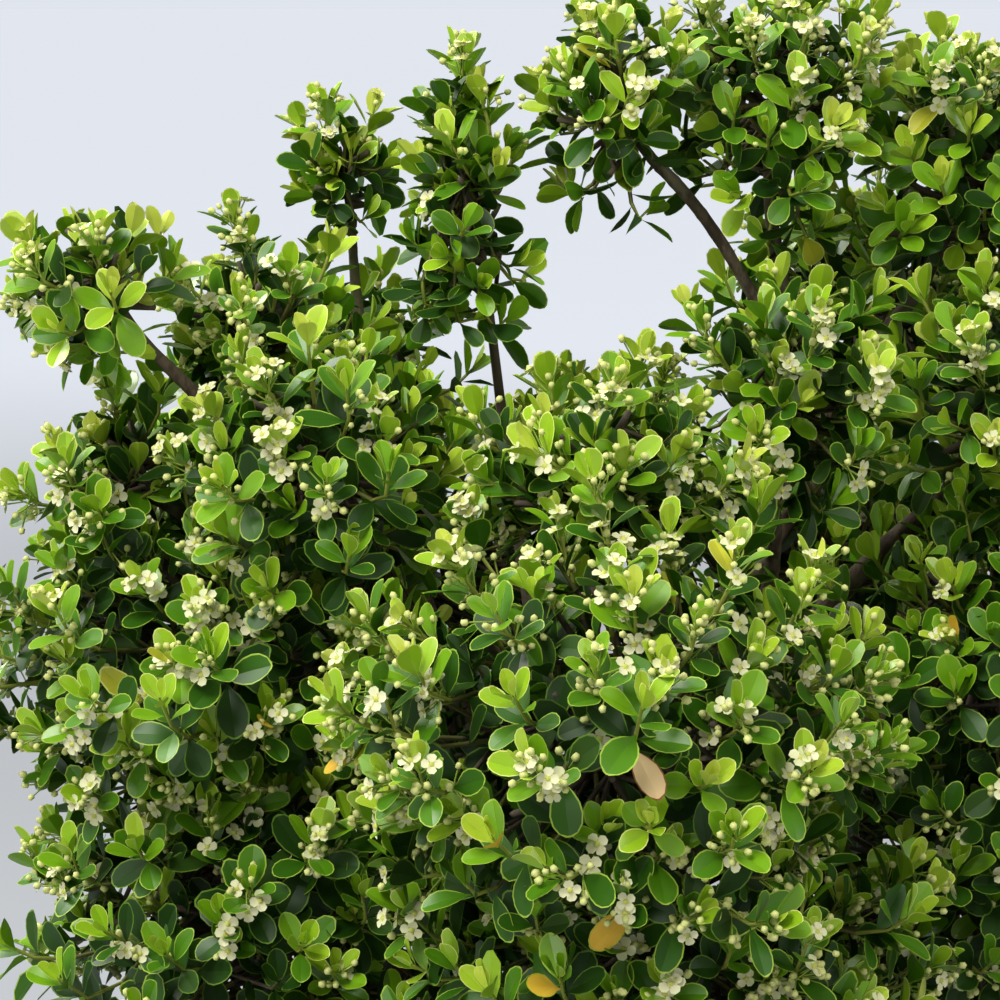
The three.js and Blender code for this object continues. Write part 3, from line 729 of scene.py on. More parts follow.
blossom = {
    "flowering": 0.8, "ranks": (2, 12), "chance": 0.85, "outward": 0.0, "droop": 0.3, "perCluster": (6, 12),
    "kept": 0.4, "outside": 0.1, "openShare": 0.22, "leafFace": 0.8, "shootAim": 0.8, "sway": 0.48,
    "rootSway": 0.7, "stalk": (4.2, 9.0), "stalkRadius": 0.3, "stalkSides": 3, "petalLength": 3.5,
    "sizes": (0.85, 1.12), "budRadius": (1.15, 1.55), "anyTurn": 7, "faceOut": 0.5, "faceUp": 0.2,
    # a petal's edge and its middle, the heart, and a stamen, in shares of a petal's length
    "petals": 4,
    "petal": [(0.1, 0.0, 0.02), (0.34, 0.36, 0.16), (0.7, 0.46, 0.26), (0.97, 0.22, 0.2),
              (0.97, -0.22, 0.2), (0.7, -0.46, 0.26), (0.34, -0.36, 0.16), (0.6, 0.0, 0.05)],
    "heartSides": 6, "heartEdge": (0.28, 0.0, 0.06), "heartTop": (0.0, 0.0, 0.42),
    "stamen": [(0.2, 0.0, 0.1), (0.48, 0.05, 0.42), (0.48, -0.05, 0.36)],
    # a round bud, a little longer than wide, in shares of its radius
    "budSides": 5, "budRings": [(0.86, 0.0, 0.55), (0.8, 0.0, 1.6)], "budTip": (0.0, 0.0, 2.15),
}


def spun(point, step, steps):
    # a point turned about the upright axis, where the given steps make a full turn
    x, y, z = point
    turn = step * 2 * math.pi / steps
    return (x * math.cos(turn) - y * math.sin(turn), x * math.sin(turn) + y * math.cos(turn), z)


def flowerTemplate():
    sizes = blossom
    points, faces, slots = [], [], []
    edge, petals, sides = len(sizes["petal"]) - 1, sizes["petals"], sizes["heartSides"]
    for k in range(petals):
        base = len(points)
        points += [spun(point, k, petals) for point in sizes["petal"]]
        faces += [(base + a, base + (a + 1) % edge, base + edge) for a in range(edge)]
        slots += ["petal"] * edge
    base = len(points)
    points += [spun(sizes["heartEdge"], k, sides) for k in range(sides)] + [sizes["heartTop"]]
    faces += [(base + k, base + (k + 1) % sides, base + sides) for k in range(sides)]
    slots += ["flowerHeart"] * sides
    for k in range(petals):
        base = len(points)
        points += [spun(point, k + 0.5, petals) for point in sizes["stamen"]]
        faces.append((base, base + 1, base + 2))
        slots.append("stamen")
    return np.array(points), np.array(faces), np.array([blossomSlot[slot] for slot in slots])


def budTemplate():
    sides = blossom["budSides"]
    points = [(0, 0, 0)]
    for ring in blossom["budRings"]:
        points += [spun(ring, k, sides) for k in range(sides)]
    points.append(blossom["budTip"])
    faces = []
    for k in range(sides):
        low, nextLow = 1 + k, 1 + (k + 1) % sides
        high, nextHigh = low + sides, nextLow + sides
        faces += [(0, nextLow, low), (low, nextLow, nextHigh), (low, nextHigh, high),
                  (high, nextHigh, 1 + 2 * sides)]
    return np.array(points, float), np.array(faces)


flowerForm = flowerTemplate()
budForm = budTemplate()


def placeForms(parts, points, faces, slots, places, axes, sizes, turns):
    # many copies of a small form, each stood on its place with its own axis, size and turn
    axes = unit(axes)
    across = unit(squareTo(axes))
    other = np.cross(axes, across)
    c, s = np.cos(turns)[:, None], np.sin(turns)[:, None]
    sideA, sideB = c * across + s * other, -s * across + c * other
    skin = places[:, None] + sizes[:, None, None] * (
        points[None, :, :1] * sideA[:, None] + points[None, :, 1:2] * sideB[:, None]
        + points[None, :, 2:3] * axes[:, None])
    first = np.arange(len(places))[:, None, None] * len(points)
    addPart(parts, skin, (first + faces[None]).reshape(-1, faces.shape[1]), np.tile(slots, len(places)))


def growBlossom(parts, shoots, leaves, rng):
    sizes = blossom
    flowering = rng.random(len(shoots["span"])) < sizes["flowering"]
    low, high = sizes["ranks"]
    chosen = flowering[leaves["shoot"]] & (leaves["rank"] >= low) & (leaves["rank"] <= high)
    chosen &= rng.random(len(chosen)) < sizes["chance"]
    aims = shoots["aim"][leaves["shoot"]] - up * sizes["droop"]
    chosen &= (leaves["along"] * aims).sum(axis=1) > sizes["outward"]
    where = np.nonzero(chosen)[0]
    if len(where) == 0:
        return
    where = np.repeat(where, rng.integers(*sizes["perCluster"], len(where)))
    aims = shoots["aim"][leaves["shoot"][where]]
    outward = unit(leaves["along"][where] + leaves["face"][where] * sizes["leafFace"]
                   + aims * sizes["shootAim"])
    axes = unit(outward + rng.normal(0, sizes["sway"], outward.shape))
    roots = leaves["root"][where] + rng.normal(0, sizes["rootSway"], axes.shape)
    ends = roots + axes * rng.uniform(*sizes["stalk"], len(where))[:, None]
    heads = ends + axes * sizes["budRadius"][0]
    outside = wayOut(heads)
    seen = (rng.random(len(heads)) < sizes["kept"]) & ((outside * aims).sum(axis=1) > sizes["outside"])
    seen[outOfSight(heads, [outside], leaves)] = False
    aims, axes, roots, ends = aims[seen], axes[seen], roots[seen], ends[seen]
    count = len(ends)
    totals["blossom"] += count
    radii = np.full((count, 2), sizes["stalkRadius"])
    tubes(parts, np.stack([roots, ends], axis=1), np.repeat(axes[:, None], 2, axis=1), radii,
          sizes["stalkSides"], blossomSlot["pedicel"], capped=False)
    isOpen = rng.random(count) < sizes["openShare"]
    turns = rng.uniform(0, sizes["anyTurn"], count)
    face = unit(axes + aims * sizes["faceOut"] + up * sizes["faceUp"])
    petals = sizes["petalLength"] * rng.uniform(*sizes["sizes"], int(isOpen.sum()))
    placeForms(parts, *flowerForm, ends[isOpen], face[isOpen], petals, turns[isOpen])
    closed = ~isOpen
    budSlots = np.full(len(budForm[1]), blossomSlot["flowerBud"])
    buds = rng.uniform(*sizes["budRadius"], int(closed.sum()))
    placeForms(parts, *budForm, budSlots, ends[closed], axes[closed], buds, turns[closed])


# Grow every mass

grown = {}
for mass in masses:
    rng = np.random.default_rng(mass["seed"])
    parts = growMass(mass, rng)
    for key, isOuter in (("outer", True), ("inner", False)):
        leaves = leavesOn(parts[key], rng, isOuter)
        leaves["slot"] = leafColours(leaves, rng, isOuter)
        parts[key + "Leaves"] = leaves
        totals["shoots"] += len(parts[key]["span"])
        totals["leaves"] += len(leaves["rank"])
    grown[mass["name"]] = (mass, parts, rng)
print("growth:", totals["shoots"], "shoots,", totals["leaves"], "leaves")


# Single leaves that stand out, by where they show from the front: gold, ageing and dry

marked = {  # pixels in the picture from the front; spots are places on a leaf, along it and across it
    "goldLeaf": [(275, 720), (505, 830), (965, 630), (880, 330), (595, 930), (530, 985), (337, 785)],
    "agedLeaf": [(915, 112), (805, 247), (150, 640), (720, 560)], "dryLeaf": [(645, 780)],
    "reach": 26, "facing": 0.45, "around": 4, "clear": 0.5, "hiddenCost": 20, "facingGain": 20,
    "spots": [(0.25, 0), (0.5, -0.3), (0.5, 0.3), (0.75, -0.25), (0.75, 0.25)],
}


def leafToMark(everyLeaf, places, level, x, y):
    # the number of the leaf that shows best near a place in the picture
    off = np.hypot(places[0] - x, places[1] - y)
    near = np.nonzero((off < marked["reach"]) & (everyLeaf["rank"] > 1) & (level > marked["facing"]))[0]
    if len(near) == 0:
        return None
    around = {key: value[off < marked["around"] * marked["reach"]] for key, value in everyLeaf.items()}
    some = {key: value[near] for key, value in everyLeaf.items()}
    hidden = np.zeros(len(near))
    for share, aside in marked["spots"]:
        spots = (some["root"] + unit(some["along"]) * some["length"][:, None] * share
                 + unit(np.cross(some["face"], some["along"])) * some["width"][:, None] * aside)
        hidden += isCovered(spots, unit(viewFrom - spots), around, marked["clear"])
    cost = hidden * marked["hiddenCost"] + off[near] - level[near] * marked["facingGain"]
    return near[np.argmin(cost)]


outerLeaves = [parts["outerLeaves"] for _, parts, _ in grown.values()]
everyLeaf = {key: np.concatenate([leaves[key] for leaves in outerLeaves])
             for key in ("root", "along", "face", "length", "width", "rank")}
owners = np.concatenate([np.full(len(leaves["rank"]), k) for k, leaves in enumerate(outerLeaves)])
numbers = np.concatenate([np.arange(len(leaves["rank"])) for leaves in outerLeaves])
pixels = onScreen(leafMiddles(everyLeaf))
level = np.abs((unit(everyLeaf["face"]) * unit(viewFrom - everyLeaf["root"])).sum(axis=1))
for look in ("goldLeaf", "agedLeaf", "dryLeaf"):
    for x, y in marked[look]:
        chosen = leafToMark(everyLeaf, pixels, level, x, y)
        if chosen is not None:
            outerLeaves[owners[chosen]]["slot"][numbers[chosen]] = leafSlot[look]


# Build the foliage: one piece of leaves, one of twigs and one of blossom for each mass

twigForms = {
    "stem": {"stations": 8, "sides": 8},
    "twigs": {"radius": 1.4, "taper": (1.25, 0.5), "stations": 5, "sides": 4},
    "shoots": {"radius": 0.85, "taper": (1.2, 0.45), "sides": 3}, "shootStations": {"outer": 5, "inner": 3},
    "shootColours": ("greyTwig", "oliveShoot", "greenShoot", "greenShoot"),
}
shootSlots = np.array([twigSlot[colour] for colour in twigForms["shootColours"]])

for name, (mass, parts, rng) in grown.items():
    leafParts, twigParts, blossomParts = newParts(), newParts(), newParts()
    leaves, kinds = sortBySight(mass, parts)
    for kind, some in kinds.items():
        addLeaves(leafParts, {key: value[some] for key, value in leaves.items()}, kind)
        totals[kind] = totals.get(kind, 0) + int(some.sum())
    node = f"foliage_{name}"
    buildPiece(f"leaves_{name}", leafParts, leafMaterials.values(),
               [node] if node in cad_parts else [])

    stem = [np.array(end)[None, None] for end in parts["stem"]]
    curvedTubes(twigParts, stem, parts["stemRadius"], (1, crown["stemTaper"]), slots=twigSlot["greyTwig"],
                **twigForms["stem"])
    twigs = [parts["twigs"][key][:, None] for key in ("start", "bend", "end")]
    curvedTubes(twigParts, twigs, slots=twigSlot["greyTwig"], **twigForms["twigs"])
    for key, stations in twigForms["shootStations"].items():
        shoots = [parts[key][end][:, None] for end in ("start", "bend", "end")]
        curvedTubes(twigParts, shoots, stations=stations, slots=shootSlots[None, :stations - 1],
                    capped=False, **twigForms["shoots"])
    buildPiece(f"twigs_{name}", twigParts, twigMaterials.values())

    growBlossom(blossomParts, parts["outer"], parts["outerLeaves"], rng)
    if blossomParts["count"]:
        buildPiece(f"blossom_{name}", blossomParts, blossomMaterials.values())
print("foliage:", totals)


# Shared effects

def addNode(tree, kind, feeds=None, **settings):
    # a shader node with its settings; each input is fed by a plain value or by another node's socket
    node = tree.nodes.new(f"ShaderNode{kind}")
    for name, value in settings.items():
        setattr(node, name, value)
    for label, value in (feeds or {}).items():
        if isinstance(value, bpy.types.NodeSocket):
            tree.links.new(value, node.inputs[label])
        else:
            node.inputs[label].default_value = value
    return node


def newGroup(name, inputs, outputs):
    group = bpy.data.node_groups.new(name, "ShaderNodeTree")
    for label, kind, value in inputs:
        socket = group.interface.new_socket(label, in_out="INPUT", socket_type=kind)
        if value is not None:
            socket.default_value = value
    for label, kind in outputs:
        group.interface.new_socket(label, in_out="OUTPUT", socket_type=kind)
    return group, group.nodes.new("NodeGroupInput"), group.nodes.new("NodeGroupOutput")


def mottleGroup():
    # soft uneven patches: a mask from a noise, cut at a level with a soft edge
    group, given, made = newGroup("mottle", [
        ("Vector", "NodeSocketVector", None), ("Scale", "NodeSocketFloat", 40.0),
        ("Detail", "NodeSocketFloat", 4.0), ("Level", "NodeSocketFloat", 0.5),
        ("Softness", "NodeSocketFloat", 0.15),
    ], [("Mask", "NodeSocketFloat"), ("Value", "NodeSocketFloat")])
    cloud = addNode(group, "TexNoise", {
        label: given.outputs[label] for label in ("Vector", "Scale", "Detail")})
    edge = {0: given.outputs["Level"], 1: given.outputs["Softness"]}
    low = addNode(group, "Math", edge, operation="SUBTRACT")
    high = addNode(group, "Math", edge, operation="ADD")
    cut = addNode(group, "MapRange", {"Value": cloud.outputs["Fac"], "From Min": low.outputs[0],
                                      "From Max": high.outputs[0]}, interpolation_type="SMOOTHSTEP")
    group.links.new(cut.outputs["Result"], made.inputs["Mask"])
    group.links.new(cloud.outputs["Fac"], made.inputs["Value"])
    return group


mottle = mottleGroup()


def layered(name, look):
    # a material of one base colour, with layers of others over it where their masks are, and bumps;
    # layers are (colour, share, roughness, scale, detail, level, softness), bumps (scale, detail, depth)
    material = newMaterial(name, screen(*look["colour"]), look["roughness"])
    tree = material.node_tree
    place = addNode(tree, "TexCoord")
    mapping = addNode(tree, "Mapping", {"Vector": place.outputs["Object"],
                                        "Scale": look.get("stretch", (1, 1, 1))}).outputs["Vector"]
    colour, rough = (addNode(tree, kind).outputs[0] for kind in ("RGB", "Value"))
    colour.default_value = screen(*look["colour"])
    rough.default_value = look["roughness"]
    for tint, share, roughTo, scale, detail, level, softness in look["layers"]:
        patch = addNode(tree, "Group", {"Vector": mapping, "Scale": scale, "Detail": detail, "Level": level,
                                        "Softness": softness}, node_tree=mottle)
        masked = addNode(tree, "Math", {0: patch.outputs["Mask"], 1: share}, operation="MULTIPLY")
        amount = masked.outputs[0]
        mix = addNode(tree, "Mix", {"Factor": amount, "A": colour, "B": screen(*tint)}, data_type="RGBA")
        wear = addNode(tree, "Mix", {"Factor": amount, "A": rough, "B": roughTo})
        colour, rough = mix.outputs["Result"], wear.outputs["Result"]
    normal = {}
    for scale, detail, depth in look["bumps"]:
        grain = addNode(tree, "Group", {"Vector": mapping, "Scale": scale, "Detail": detail},
                        node_tree=mottle)
        bump = addNode(tree, "Bump", {"Distance": depth, "Height": grain.outputs["Value"], **normal})
        normal = {"Normal": bump.outputs["Normal"]}
    shader = tree.nodes["Principled BSDF"]
    for label, socket in {"Base Color": colour, "Roughness": rough, **normal}.items():
        tree.links.new(socket, shader.inputs[label])
    return material


# Trunk and boughs, with the bark's relief

bark = {
    "ringStep": 2.0, "fewestRings": 8, "trunkSides": 44, "boughSides": 14, "footDepth": 5,
    "collar": 0.3, "collarLength": 12, "scarStep": 9.0, "scarWidth": 1.3, "scar": 0.07,
    "ridge": 0.09, "ridgeAround": 2.6, "ridgeAlong": 0.11,
    "lump": 0.07, "lumpAround": 0.9, "lumpAlong": 0.045,
    "buttress": 0.14, "buttresses": 5, "buttressTurn": 0.7, "buttressHeight": 24, "shifts": 97,
    "colour": (96, 82, 66), "roughness": 0.88, "stretch": (1, 1, 0.45),
    "layers": [((62, 50, 40), 0.8, 0.95, 260, 5, 0.5, 0.06),
               ((150, 142, 122), 0.55, 0.9, 90, 4, 0.58, 0.08),
               ((92, 102, 62), 0.4, 0.85, 45, 3, 0.58, 0.1)],
    "bumps": [(420, 6, 0.0007), (140, 4, 0.0009)],
}


def shiftOf(name):
    return sum(ord(letter) * (index + 1) for index, letter in enumerate(name)) % bark["shifts"]


def barkRelief(run, angle, shift, isTrunk):
    # how far the bark stands out, as a share of the limb's radius, at a run along it and an angle round it
    x, y = math.cos(angle), math.sin(angle)
    scar = math.exp(-(((run + shift) % bark["scarStep"]) / bark["scarWidth"]) ** 2) * bark["scar"]
    around, along = bark["ridgeAround"], bark["ridgeAlong"]
    ridge = noise.noise((x * around + shift, y * around, run * along))
    around, along = bark["lumpAround"], bark["lumpAlong"]
    lump = noise.noise((x * around, y * around + shift, run * along))
    relief = 1 + (bark["ridge"] * ridge + bark["lump"] * lump + scar)
    if isTrunk:
        flare = max(0, 1 - run / bark["buttressHeight"])
        relief += bark["buttress"] * flare * math.cos(bark["buttresses"] * angle + bark["buttressTurn"])
    return relief


def roughLimb(parts, name, limb):
    isTrunk = name == "trunk"
    sides = bark["trunkSides" if isTrunk else "boughSides"]
    length = np.linalg.norm(limb["path"][2] - limb["path"][0])
    t = np.linspace(0, 1, max(bark["fewestRings"], round(length / bark["ringStep"])))
    points, tangents = bezier(*limb["path"], t), bezierTangent(*limb["path"], t)
    radii = limb["radiusAt"](t) * np.ones(len(t))
    if isTrunk:
        points = np.concatenate([points[:1] - up * bark["footDepth"], points])
        tangents, radii = np.concatenate([tangents[:1], tangents]), np.concatenate([radii[:1], radii])
    else:
        radii = radii * (1 + bark["collar"] * np.exp(-t * length / bark["collarLength"]))
    tubes(parts, points[None], tangents[None], radii[None], sides, 0)
    offset = parts["points"][-1].reshape(len(points), sides, 3) - points[:, None]
    shift = shiftOf(name)
    relief = np.array([[barkRelief(i * bark["ringStep"], angle, shift, isTrunk)
                        for angle in ringAngles(sides)] for i in range(len(points))])
    parts["points"][-1] = (points[:, None] + offset * relief[..., None]).reshape(-1, 3)


barkParts = newParts()
for name, limb in limbs.items():
    roughLimb(barkParts, name, limb)
boughNodes = [f"bough_{mass['name']}" for mass in masses]
woodNodes = ["trunk"] + [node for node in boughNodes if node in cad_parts]
buildPiece("barkLimbs", barkParts, [layered("bark", bark)], woodNodes)
print("bark:", len(limbs), "limbs")


# Pot: thick clay, thrown and a little uneven, with a heavy rim

pot = {
    "height": 240, "footRadius": 98, "shoulderRadius": 127, "rimRadius": 142, "rimDepth": 38,
    "rimLean": 1.5, "wall": 11, "floor": 14, "round": 3.4, "roundSteps": 4, "roundShare": 2.2, "longest": 8,
    "sides": 128,
    "swell": 0.5, "swellAround": 1.4, "swellUp": 0.011, "wheelMarks": 0.08, "wheelMarksUp": 0.9,
    "wheelMarksSway": 2, "evenInside": 60,
    "drainRadius": 8, "drainRing": 58, "drainCount": 3, "drainSides": 32, "drainSpan": (-10, 30),
    "colour": (186, 108, 74), "roughness": 0.82,
    "layers": [((168, 94, 63), 0.7, 0.85, 16, 6, 0.52, 0.16),
               ((202, 136, 102), 0.45, 0.8, 42, 6, 0.56, 0.12),
               ((222, 206, 188), 0.26, 0.92, 30, 8, 0.57, 0.12),
               ((128, 70, 48), 0.5, 0.85, 420, 2, 0.66, 0.04)],
    "bumps": [(900, 3, 0.0002), (60, 4, 0.0012)],
}

clayMaterial = layered("clay", pot)


def roundedProfile(corners, radius):
    # the outline with each inner corner turned into a short arc
    outline = [corners[0]]
    for before, corner, after in zip(corners, corners[1:], corners[2:]):
        before, corner, after = map(np.array, (before, corner, after))
        reach = min(radius, *(np.linalg.norm(end - corner) / pot["roundShare"] for end in (before, after)))
        arc = (corner + unit(before - corner) * reach, corner, corner + unit(after - corner) * reach)
        outline += [tuple(bezier(*arc, k / pot["roundSteps"])) for k in range(pot["roundSteps"] + 1)]
    return outline + [corners[-1]]


def splitLong(outline, longest):
    made = [outline[0]]
    for a, b in zip(outline, outline[1:]):
        count = max(1, math.ceil(math.dist(a, b) / longest))
        made += [tuple(np.array(a) + (np.array(b) - np.array(a)) * k / count) for k in range(1, count + 1)]
    return made


def innerRadiusAt(height):
    slope = (pot["shoulderRadius"] - pot["footRadius"]) / (pot["height"] - pot["rimDepth"])
    return pot["footRadius"] - pot["wall"] + slope * height


def potWobble(x, y, radius, height):
    if radius <= pot["evenInside"]:
        return 0
    around = pot["swellAround"]
    swell = noise.noise((x * around, y * around, height * pot["swellUp"])) * pot["swell"]
    sway = pot["wheelMarksSway"] * noise.noise((x, y, 0))
    return swell + math.sin(height * pot["wheelMarksUp"] + sway) * pot["wheelMarks"]


def thrown(parts, outline, sides, wobble):
    # a closed body of revolution: the first and last points of the outline are on the axis
    rings = np.empty((len(outline) - 2, sides, 3))
    for i, (radius, height) in enumerate(outline[1:-1]):
        for j, angle in enumerate(ringAngles(sides)):
            x, y = math.cos(angle), math.sin(angle)
            wide = radius + wobble(x, y, radius, height)
            rings[i, j] = (wide * x, wide * y, height)
    index = np.arange(len(rings) * sides).reshape(len(rings), sides)
    low, high = parts["count"] + index[0], parts["count"] + index[-1]
    addPart(parts, rings, ringFaces(index), 0)
    foot, top = parts["count"], parts["count"] + 1
    parts["points"].append(np.array([[0, 0, outline[0][1]], [0, 0, outline[-1][1]]], float))
    parts["count"] += 2
    parts["faces"] += [np.stack([np.full(sides, foot), np.roll(low, -1), low], axis=1),
                       np.stack([np.full(sides, top), high, np.roll(high, -1)], axis=1)]
    parts["slots"] += [np.zeros(sides, int), np.zeros(sides, int)]


rimFoot = pot["height"] - pot["rimDepth"]
potOutline = [
    (0, 0), (pot["footRadius"], 0), (pot["shoulderRadius"], rimFoot),
    (pot["rimRadius"] - pot["rimLean"], rimFoot), (pot["rimRadius"], pot["height"]),
    (innerRadiusAt(pot["height"]), pot["height"]), (innerRadiusAt(pot["floor"]), pot["floor"]),
    (0, pot["floor"]),
]
potParts = newParts()
potOutline = splitLong(roundedProfile(potOutline, pot["round"]), pot["longest"])
thrown(potParts, potOutline, pot["sides"], potWobble)
potPiece = buildPiece("clayPot", potParts, [clayMaterial], ["pot"])

drainParts = newParts()
for k in range(pot["drainCount"]):
    place = atBearing(360 / pot["drainCount"] * k, pot["drainRing"], 0)
    points = np.array([place + up * height for height in pot["drainSpan"]])[None]
    radii = np.full((1, 2), float(pot["drainRadius"]))
    tubes(drainParts, points, np.array([[up, up]]), radii, pot["drainSides"], 0)
drains = buildPiece("drains", drainParts, [clayMaterial])
bpy.context.view_layer.update()
cutter = potPiece.modifiers.new("drains", "BOOLEAN")
cutter.operation = "DIFFERENCE"
cutter.solver = "EXACT"
cutter.object = drains
cutMesh = bpy.data.meshes.new_from_object(potPiece.evaluated_get(bpy.context.evaluated_depsgraph_get()))
potPiece.modifiers.remove(cutter)
potPiece.data = cutMesh
bpy.data.objects.remove(drains)
print("pot:", len(cutMesh.polygons), "faces")


# Soil: damp and crumbly, with bits of bark, stones and fallen leaves on it

soil = {
    "level": 214, "sag": 5, "flatTo": 40, "sagOver": 70, "rings": 46, "ringSpread": 0.9, "sides": 110,
    "relief": 2.6, "clearance": 0.6, "footGap": 0.3,
    "humps": [(0.09, 3, 1), (0.3, 7, 0.5)], "humpShare": 0.8, "humpSink": 0.2,  # humps: scale, layer, share
    "colour": (58, 44, 33), "roughness": 0.98,
    "layers": [((34, 25, 18), 0.9, 1.0, 190, 6, 0.5, 0.08), ((88, 66, 46), 0.7, 0.95, 420, 4, 0.6, 0.05),
               ((120, 104, 82), 0.6, 0.9, 700, 2, 0.7, 0.03)],
    "bumps": [(800, 5, 0.0014), (220, 4, 0.002)],
}

crumbs = {
    "seed": 61, "count": 1500, "size": (0.8, 3.2), "sizePower": 0.6, "kinds": (0.62, 0.3, 0.08),
    "form": (1, 0.8, 0.6), "chipForm": (1.6, 0.8, 0.6), "reach": 0.97, "trunkRoom": 27, "lift": 0.3,
    "tilt": 0.5, "spin": 5, "anyTurn": 7,
}

litter = {
    "count": 26, "from": 34, "edgeRoom": 8, "lift": 1.6, "slope": (1, 1, 0.12), "tilt": 0.2,
    "length": (11, 16), "width": (6, 8.5), "cup": (-0.3, 0.3), "arch": (-0.1, 0.1), "anyTurn": 7,
}

crumbLooks = {
    "darkCrumb": ((46, 33, 25), 0.98), "barkChip": ((98, 70, 46), 0.92), "paleGrit": ((176, 168, 150), 0.85),
}

soilMaterial = layered("soil", soil)
crumbMaterials = [*plainMaterials(crumbLooks).values(), leafMaterials["dryLeaf"], leafMaterials["brownRim"]]


def soilHeight(x, y):
    dome = soil["level"] - soil["sag"] * max(0, math.hypot(x, y) - soil["flatTo"]) / soil["sagOver"]
    rough = sum(share * noise.noise((x * scale, y * scale, layer)) for scale, layer, share in soil["humps"])
    return dome + soil["relief"] * (rough * soil["humpShare"] - soil["humpSink"])


def onSoil(out, turn, lift):
    return np.array([(x, y, soilHeight(x, y) + lift)
                     for x, y in zip(out * np.cos(turn), out * np.sin(turn))])


soilParts = newParts()
soilEdge = innerRadiusAt(soil["level"] - soil["sag"]) - soil["clearance"]
soilFoot = innerRadiusAt(pot["floor"]) - soil["clearance"]
spread = np.linspace(0, 1, soil["rings"] + 1)[1:] ** soil["ringSpread"] * soilEdge
angles = ringAngles(soil["sides"])
top = np.array([[(r * math.cos(a), r * math.sin(a), soilHeight(r * math.cos(a), r * math.sin(a)))
                 for a in angles] for r in spread[::-1]])
footHeights = np.full(len(angles), pot["floor"] + soil["footGap"])
foot = np.stack([soilFoot * np.cos(angles), soilFoot * np.sin(angles), footHeights], axis=1)
rings = np.concatenate([foot[None], top])
index = np.arange(len(rings) * soil["sides"]).reshape(len(rings), soil["sides"])
addPart(soilParts, rings, ringFaces(index), 0)
soilParts["faces"] += [index[0, ::-1][None], index[-1][None]]
soilParts["slots"] += [np.zeros(1, int), np.zeros(1, int)]
buildPiece("soilBody", soilParts, [soilMaterial], ["soil"])

rng = np.random.default_rng(crumbs["seed"])
crumbForm = np.array([(1, 0, 0), (-1, 0, 0), (0, 1, 0), (0, -1, 0), (0, 0, 1), (0, 0, -1)], float)
crumbFaces = np.array([(0, 2, 4), (2, 1, 4), (1, 3, 4), (3, 0, 4),
                       (2, 0, 5), (1, 2, 5), (3, 1, 5), (0, 3, 5)])
crumbParts = newParts()
out = soilEdge * np.sqrt(rng.random(crumbs["count"])) * crumbs["reach"]
turn = rng.uniform(0, crumbs["anyTurn"], crumbs["count"])
places = onSoil(out, turn, crumbs["lift"])
axes = unit(rng.normal(0, crumbs["tilt"], places.shape) + up)
crumbSizes = rng.uniform(*crumbs["size"], len(places)) * rng.random(len(places)) ** crumbs["sizePower"]
kinds = rng.choice(len(crumbs["kinds"]), len(places), p=crumbs["kinds"])
for kind in range(len(crumbs["kinds"])):
    some = (out > crumbs["trunkRoom"]) & (kinds == kind)
    form = crumbForm * crumbs["form"] * (crumbs["chipForm"] if kind == 1 else 1)
    placeForms(crumbParts, form, crumbFaces, np.full(len(crumbFaces), kind), places[some], axes[some],
               crumbSizes[some], turn[some] * crumbs["spin"])

count = litter["count"]
out = rng.uniform(litter["from"], soilEdge - litter["edgeRoom"], count)
turn = rng.uniform(0, litter["anyTurn"], count)
fallen = {
    "root": onSoil(out, turn, litter["lift"]),
    "along": rng.normal(0, 1, (count, 3)) * litter["slope"],
    "face": rng.normal(0, litter["tilt"], (count, 3)) + up,
    **{key: rng.uniform(*litter[key], count) for key in ("length", "width", "cup", "arch")},
    "slot": np.full(count, leafSlot["dryLeaf"]),
}
addLeaves(crumbParts, fallen, "plain")
blade, rim = (crumbMaterials.index(leafMaterials[look]) for look in ("dryLeaf", "brownRim"))
crumbParts["slots"][-1] = np.where(crumbParts["slots"][-1] == leafSlot["dryLeaf"], blade, rim)
buildPiece("soilCrumbs", crumbParts, crumbMaterials, smooth=False)
print("soil:", crumbs["count"], "crumbs")


# Stage: a pale floor, soft light from above and the left

light = {
    "floor": (148, 152, 158), "floorRoughness": 0.9, "floorSheen": 0.1, "floorHalf": 400,
    "sky": (224, 229, 238), "glow": (238, 235, 222), "ambient": 0.36, "fade": (1.2, 4.5), "nearGlow": 0.3,
    "lamps": [  # name, place, aim, size, power, colour
        ("softTop", (-0.9, -1.3, 2.4), (0, -0.05, 0.45), 1.3, 56, (1.0, 0.985, 0.94)),
        ("softFill", (1.7, -1.2, 1.3), (0, 0, 0.45), 1.4, 14, (1.0, 0.99, 0.95)),
        ("softBack", (-1.6, 0.7, 1.9), (-0.1, 0, 0.5), 1.0, 37, (1.0, 0.99, 0.92)),
        ("softLow", (-1.3, -1.5, 0.35), (-0.1, 0, 0.5), 1.2, 7, (1.0, 0.99, 0.92)),
    ],
}

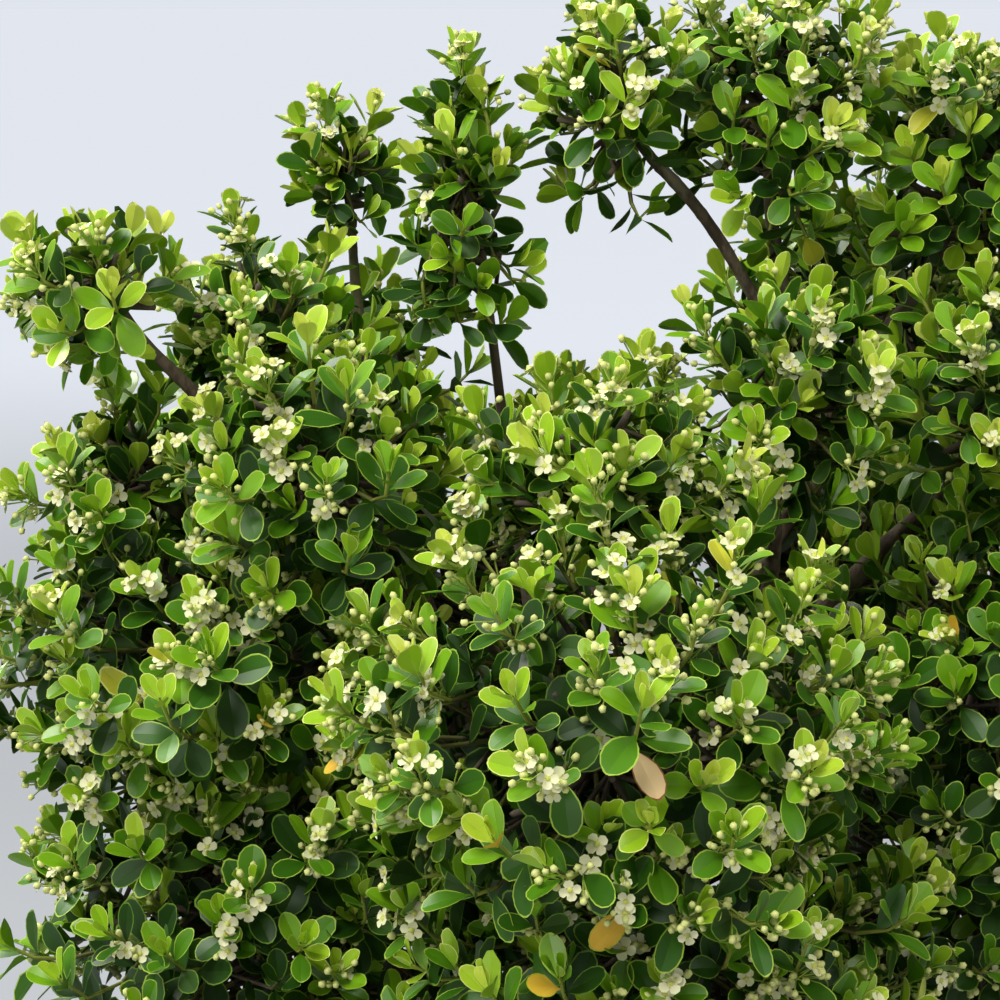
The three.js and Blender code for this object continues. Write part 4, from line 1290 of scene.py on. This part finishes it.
half = light["floorHalf"]
floorMesh = bpy.data.meshes.new("floor")
floorCorners = [(-half, -half, 0), (half, -half, 0), (half, half, 0), (-half, half, 0)]
floorMesh.from_pydata(floorCorners, [], [(0, 1, 2, 3)])
paleFloor = newMaterial("paleFloor", screen(*light["floor"]), light["floorRoughness"],
                        Specular_IOR_Level=light["floorSheen"])
floorMesh.materials.append(paleFloor)
tree = paleFloor.node_tree
paleness = [sky - light["ambient"] * soft * base for sky, soft, base in zip(
    screen(*light["sky"]), screen(*light["glow"]), screen(*light["floor"]))]
away = addNode(tree, "VectorMath", {0: addNode(tree, "TexCoord").outputs["Object"]}, operation="LENGTH")
fade = addNode(tree, "MapRange", {
    "Value": away.outputs["Value"], "From Min": light["fade"][0], "From Max": light["fade"][1],
    "To Min": light["nearGlow"]}, interpolation_type="SMOOTHSTEP")
ray = addNode(tree, "LightPath")
strength = addNode(tree, "Math", {0: ray.outputs["Is Camera Ray"], 1: fade.outputs["Result"]},
                   operation="MULTIPLY")
# the glow lifts the floor, to the camera alone, to the sky's paleness
glow = addNode(tree, "Emission", {"Color": paleness, "Strength": strength.outputs[0]})
both = addNode(tree, "AddShader", {0: tree.nodes["Principled BSDF"].outputs["BSDF"],
                                   1: glow.outputs["Emission"]})
tree.links.new(both.outputs["Shader"], tree.nodes["Material Output"].inputs["Surface"])
floor = bpy.data.objects.new("floor", floorMesh)
scene.collection.objects.link(floor)
floor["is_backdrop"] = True

for name, place, aim, size, power, colour in light["lamps"]:
    lamp = bpy.data.lights.new(name, "AREA")
    lamp.shape = "DISK"
    lamp.size = size
    lamp.energy = power
    lamp.color = colour
    holder = bpy.data.objects.new(name, lamp)
    holder.location = place
    holder.rotation_euler = (Vector(aim) - Vector(place)).to_track_quat("-Z", "Y").to_euler()
    scene.collection.objects.link(holder)

world = bpy.data.worlds.new("paleSky")
scene.world = world
world.use_nodes = True
tree = world.node_tree
seen = tree.nodes["Background"]
seen.inputs["Color"].default_value = screen(*light["sky"])
lit = addNode(tree, "Background", {"Color": screen(*light["glow"]), "Strength": light["ambient"]})
ray = addNode(tree, "LightPath")
choice = addNode(tree, "MixShader", {"Fac": ray.outputs["Is Camera Ray"], 1: lit.outputs["Background"],
                                     2: seen.outputs["Background"]})
tree.links.new(choice.outputs["Shader"], tree.nodes["World Output"].inputs["Surface"])
scene.view_settings.view_transform = "Standard"

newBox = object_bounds()
for label, (low, high) in (("cad", cadBox), ("visual", newBox)):
    print("size,", label + ":", [round(side, 3) for side in high - low])
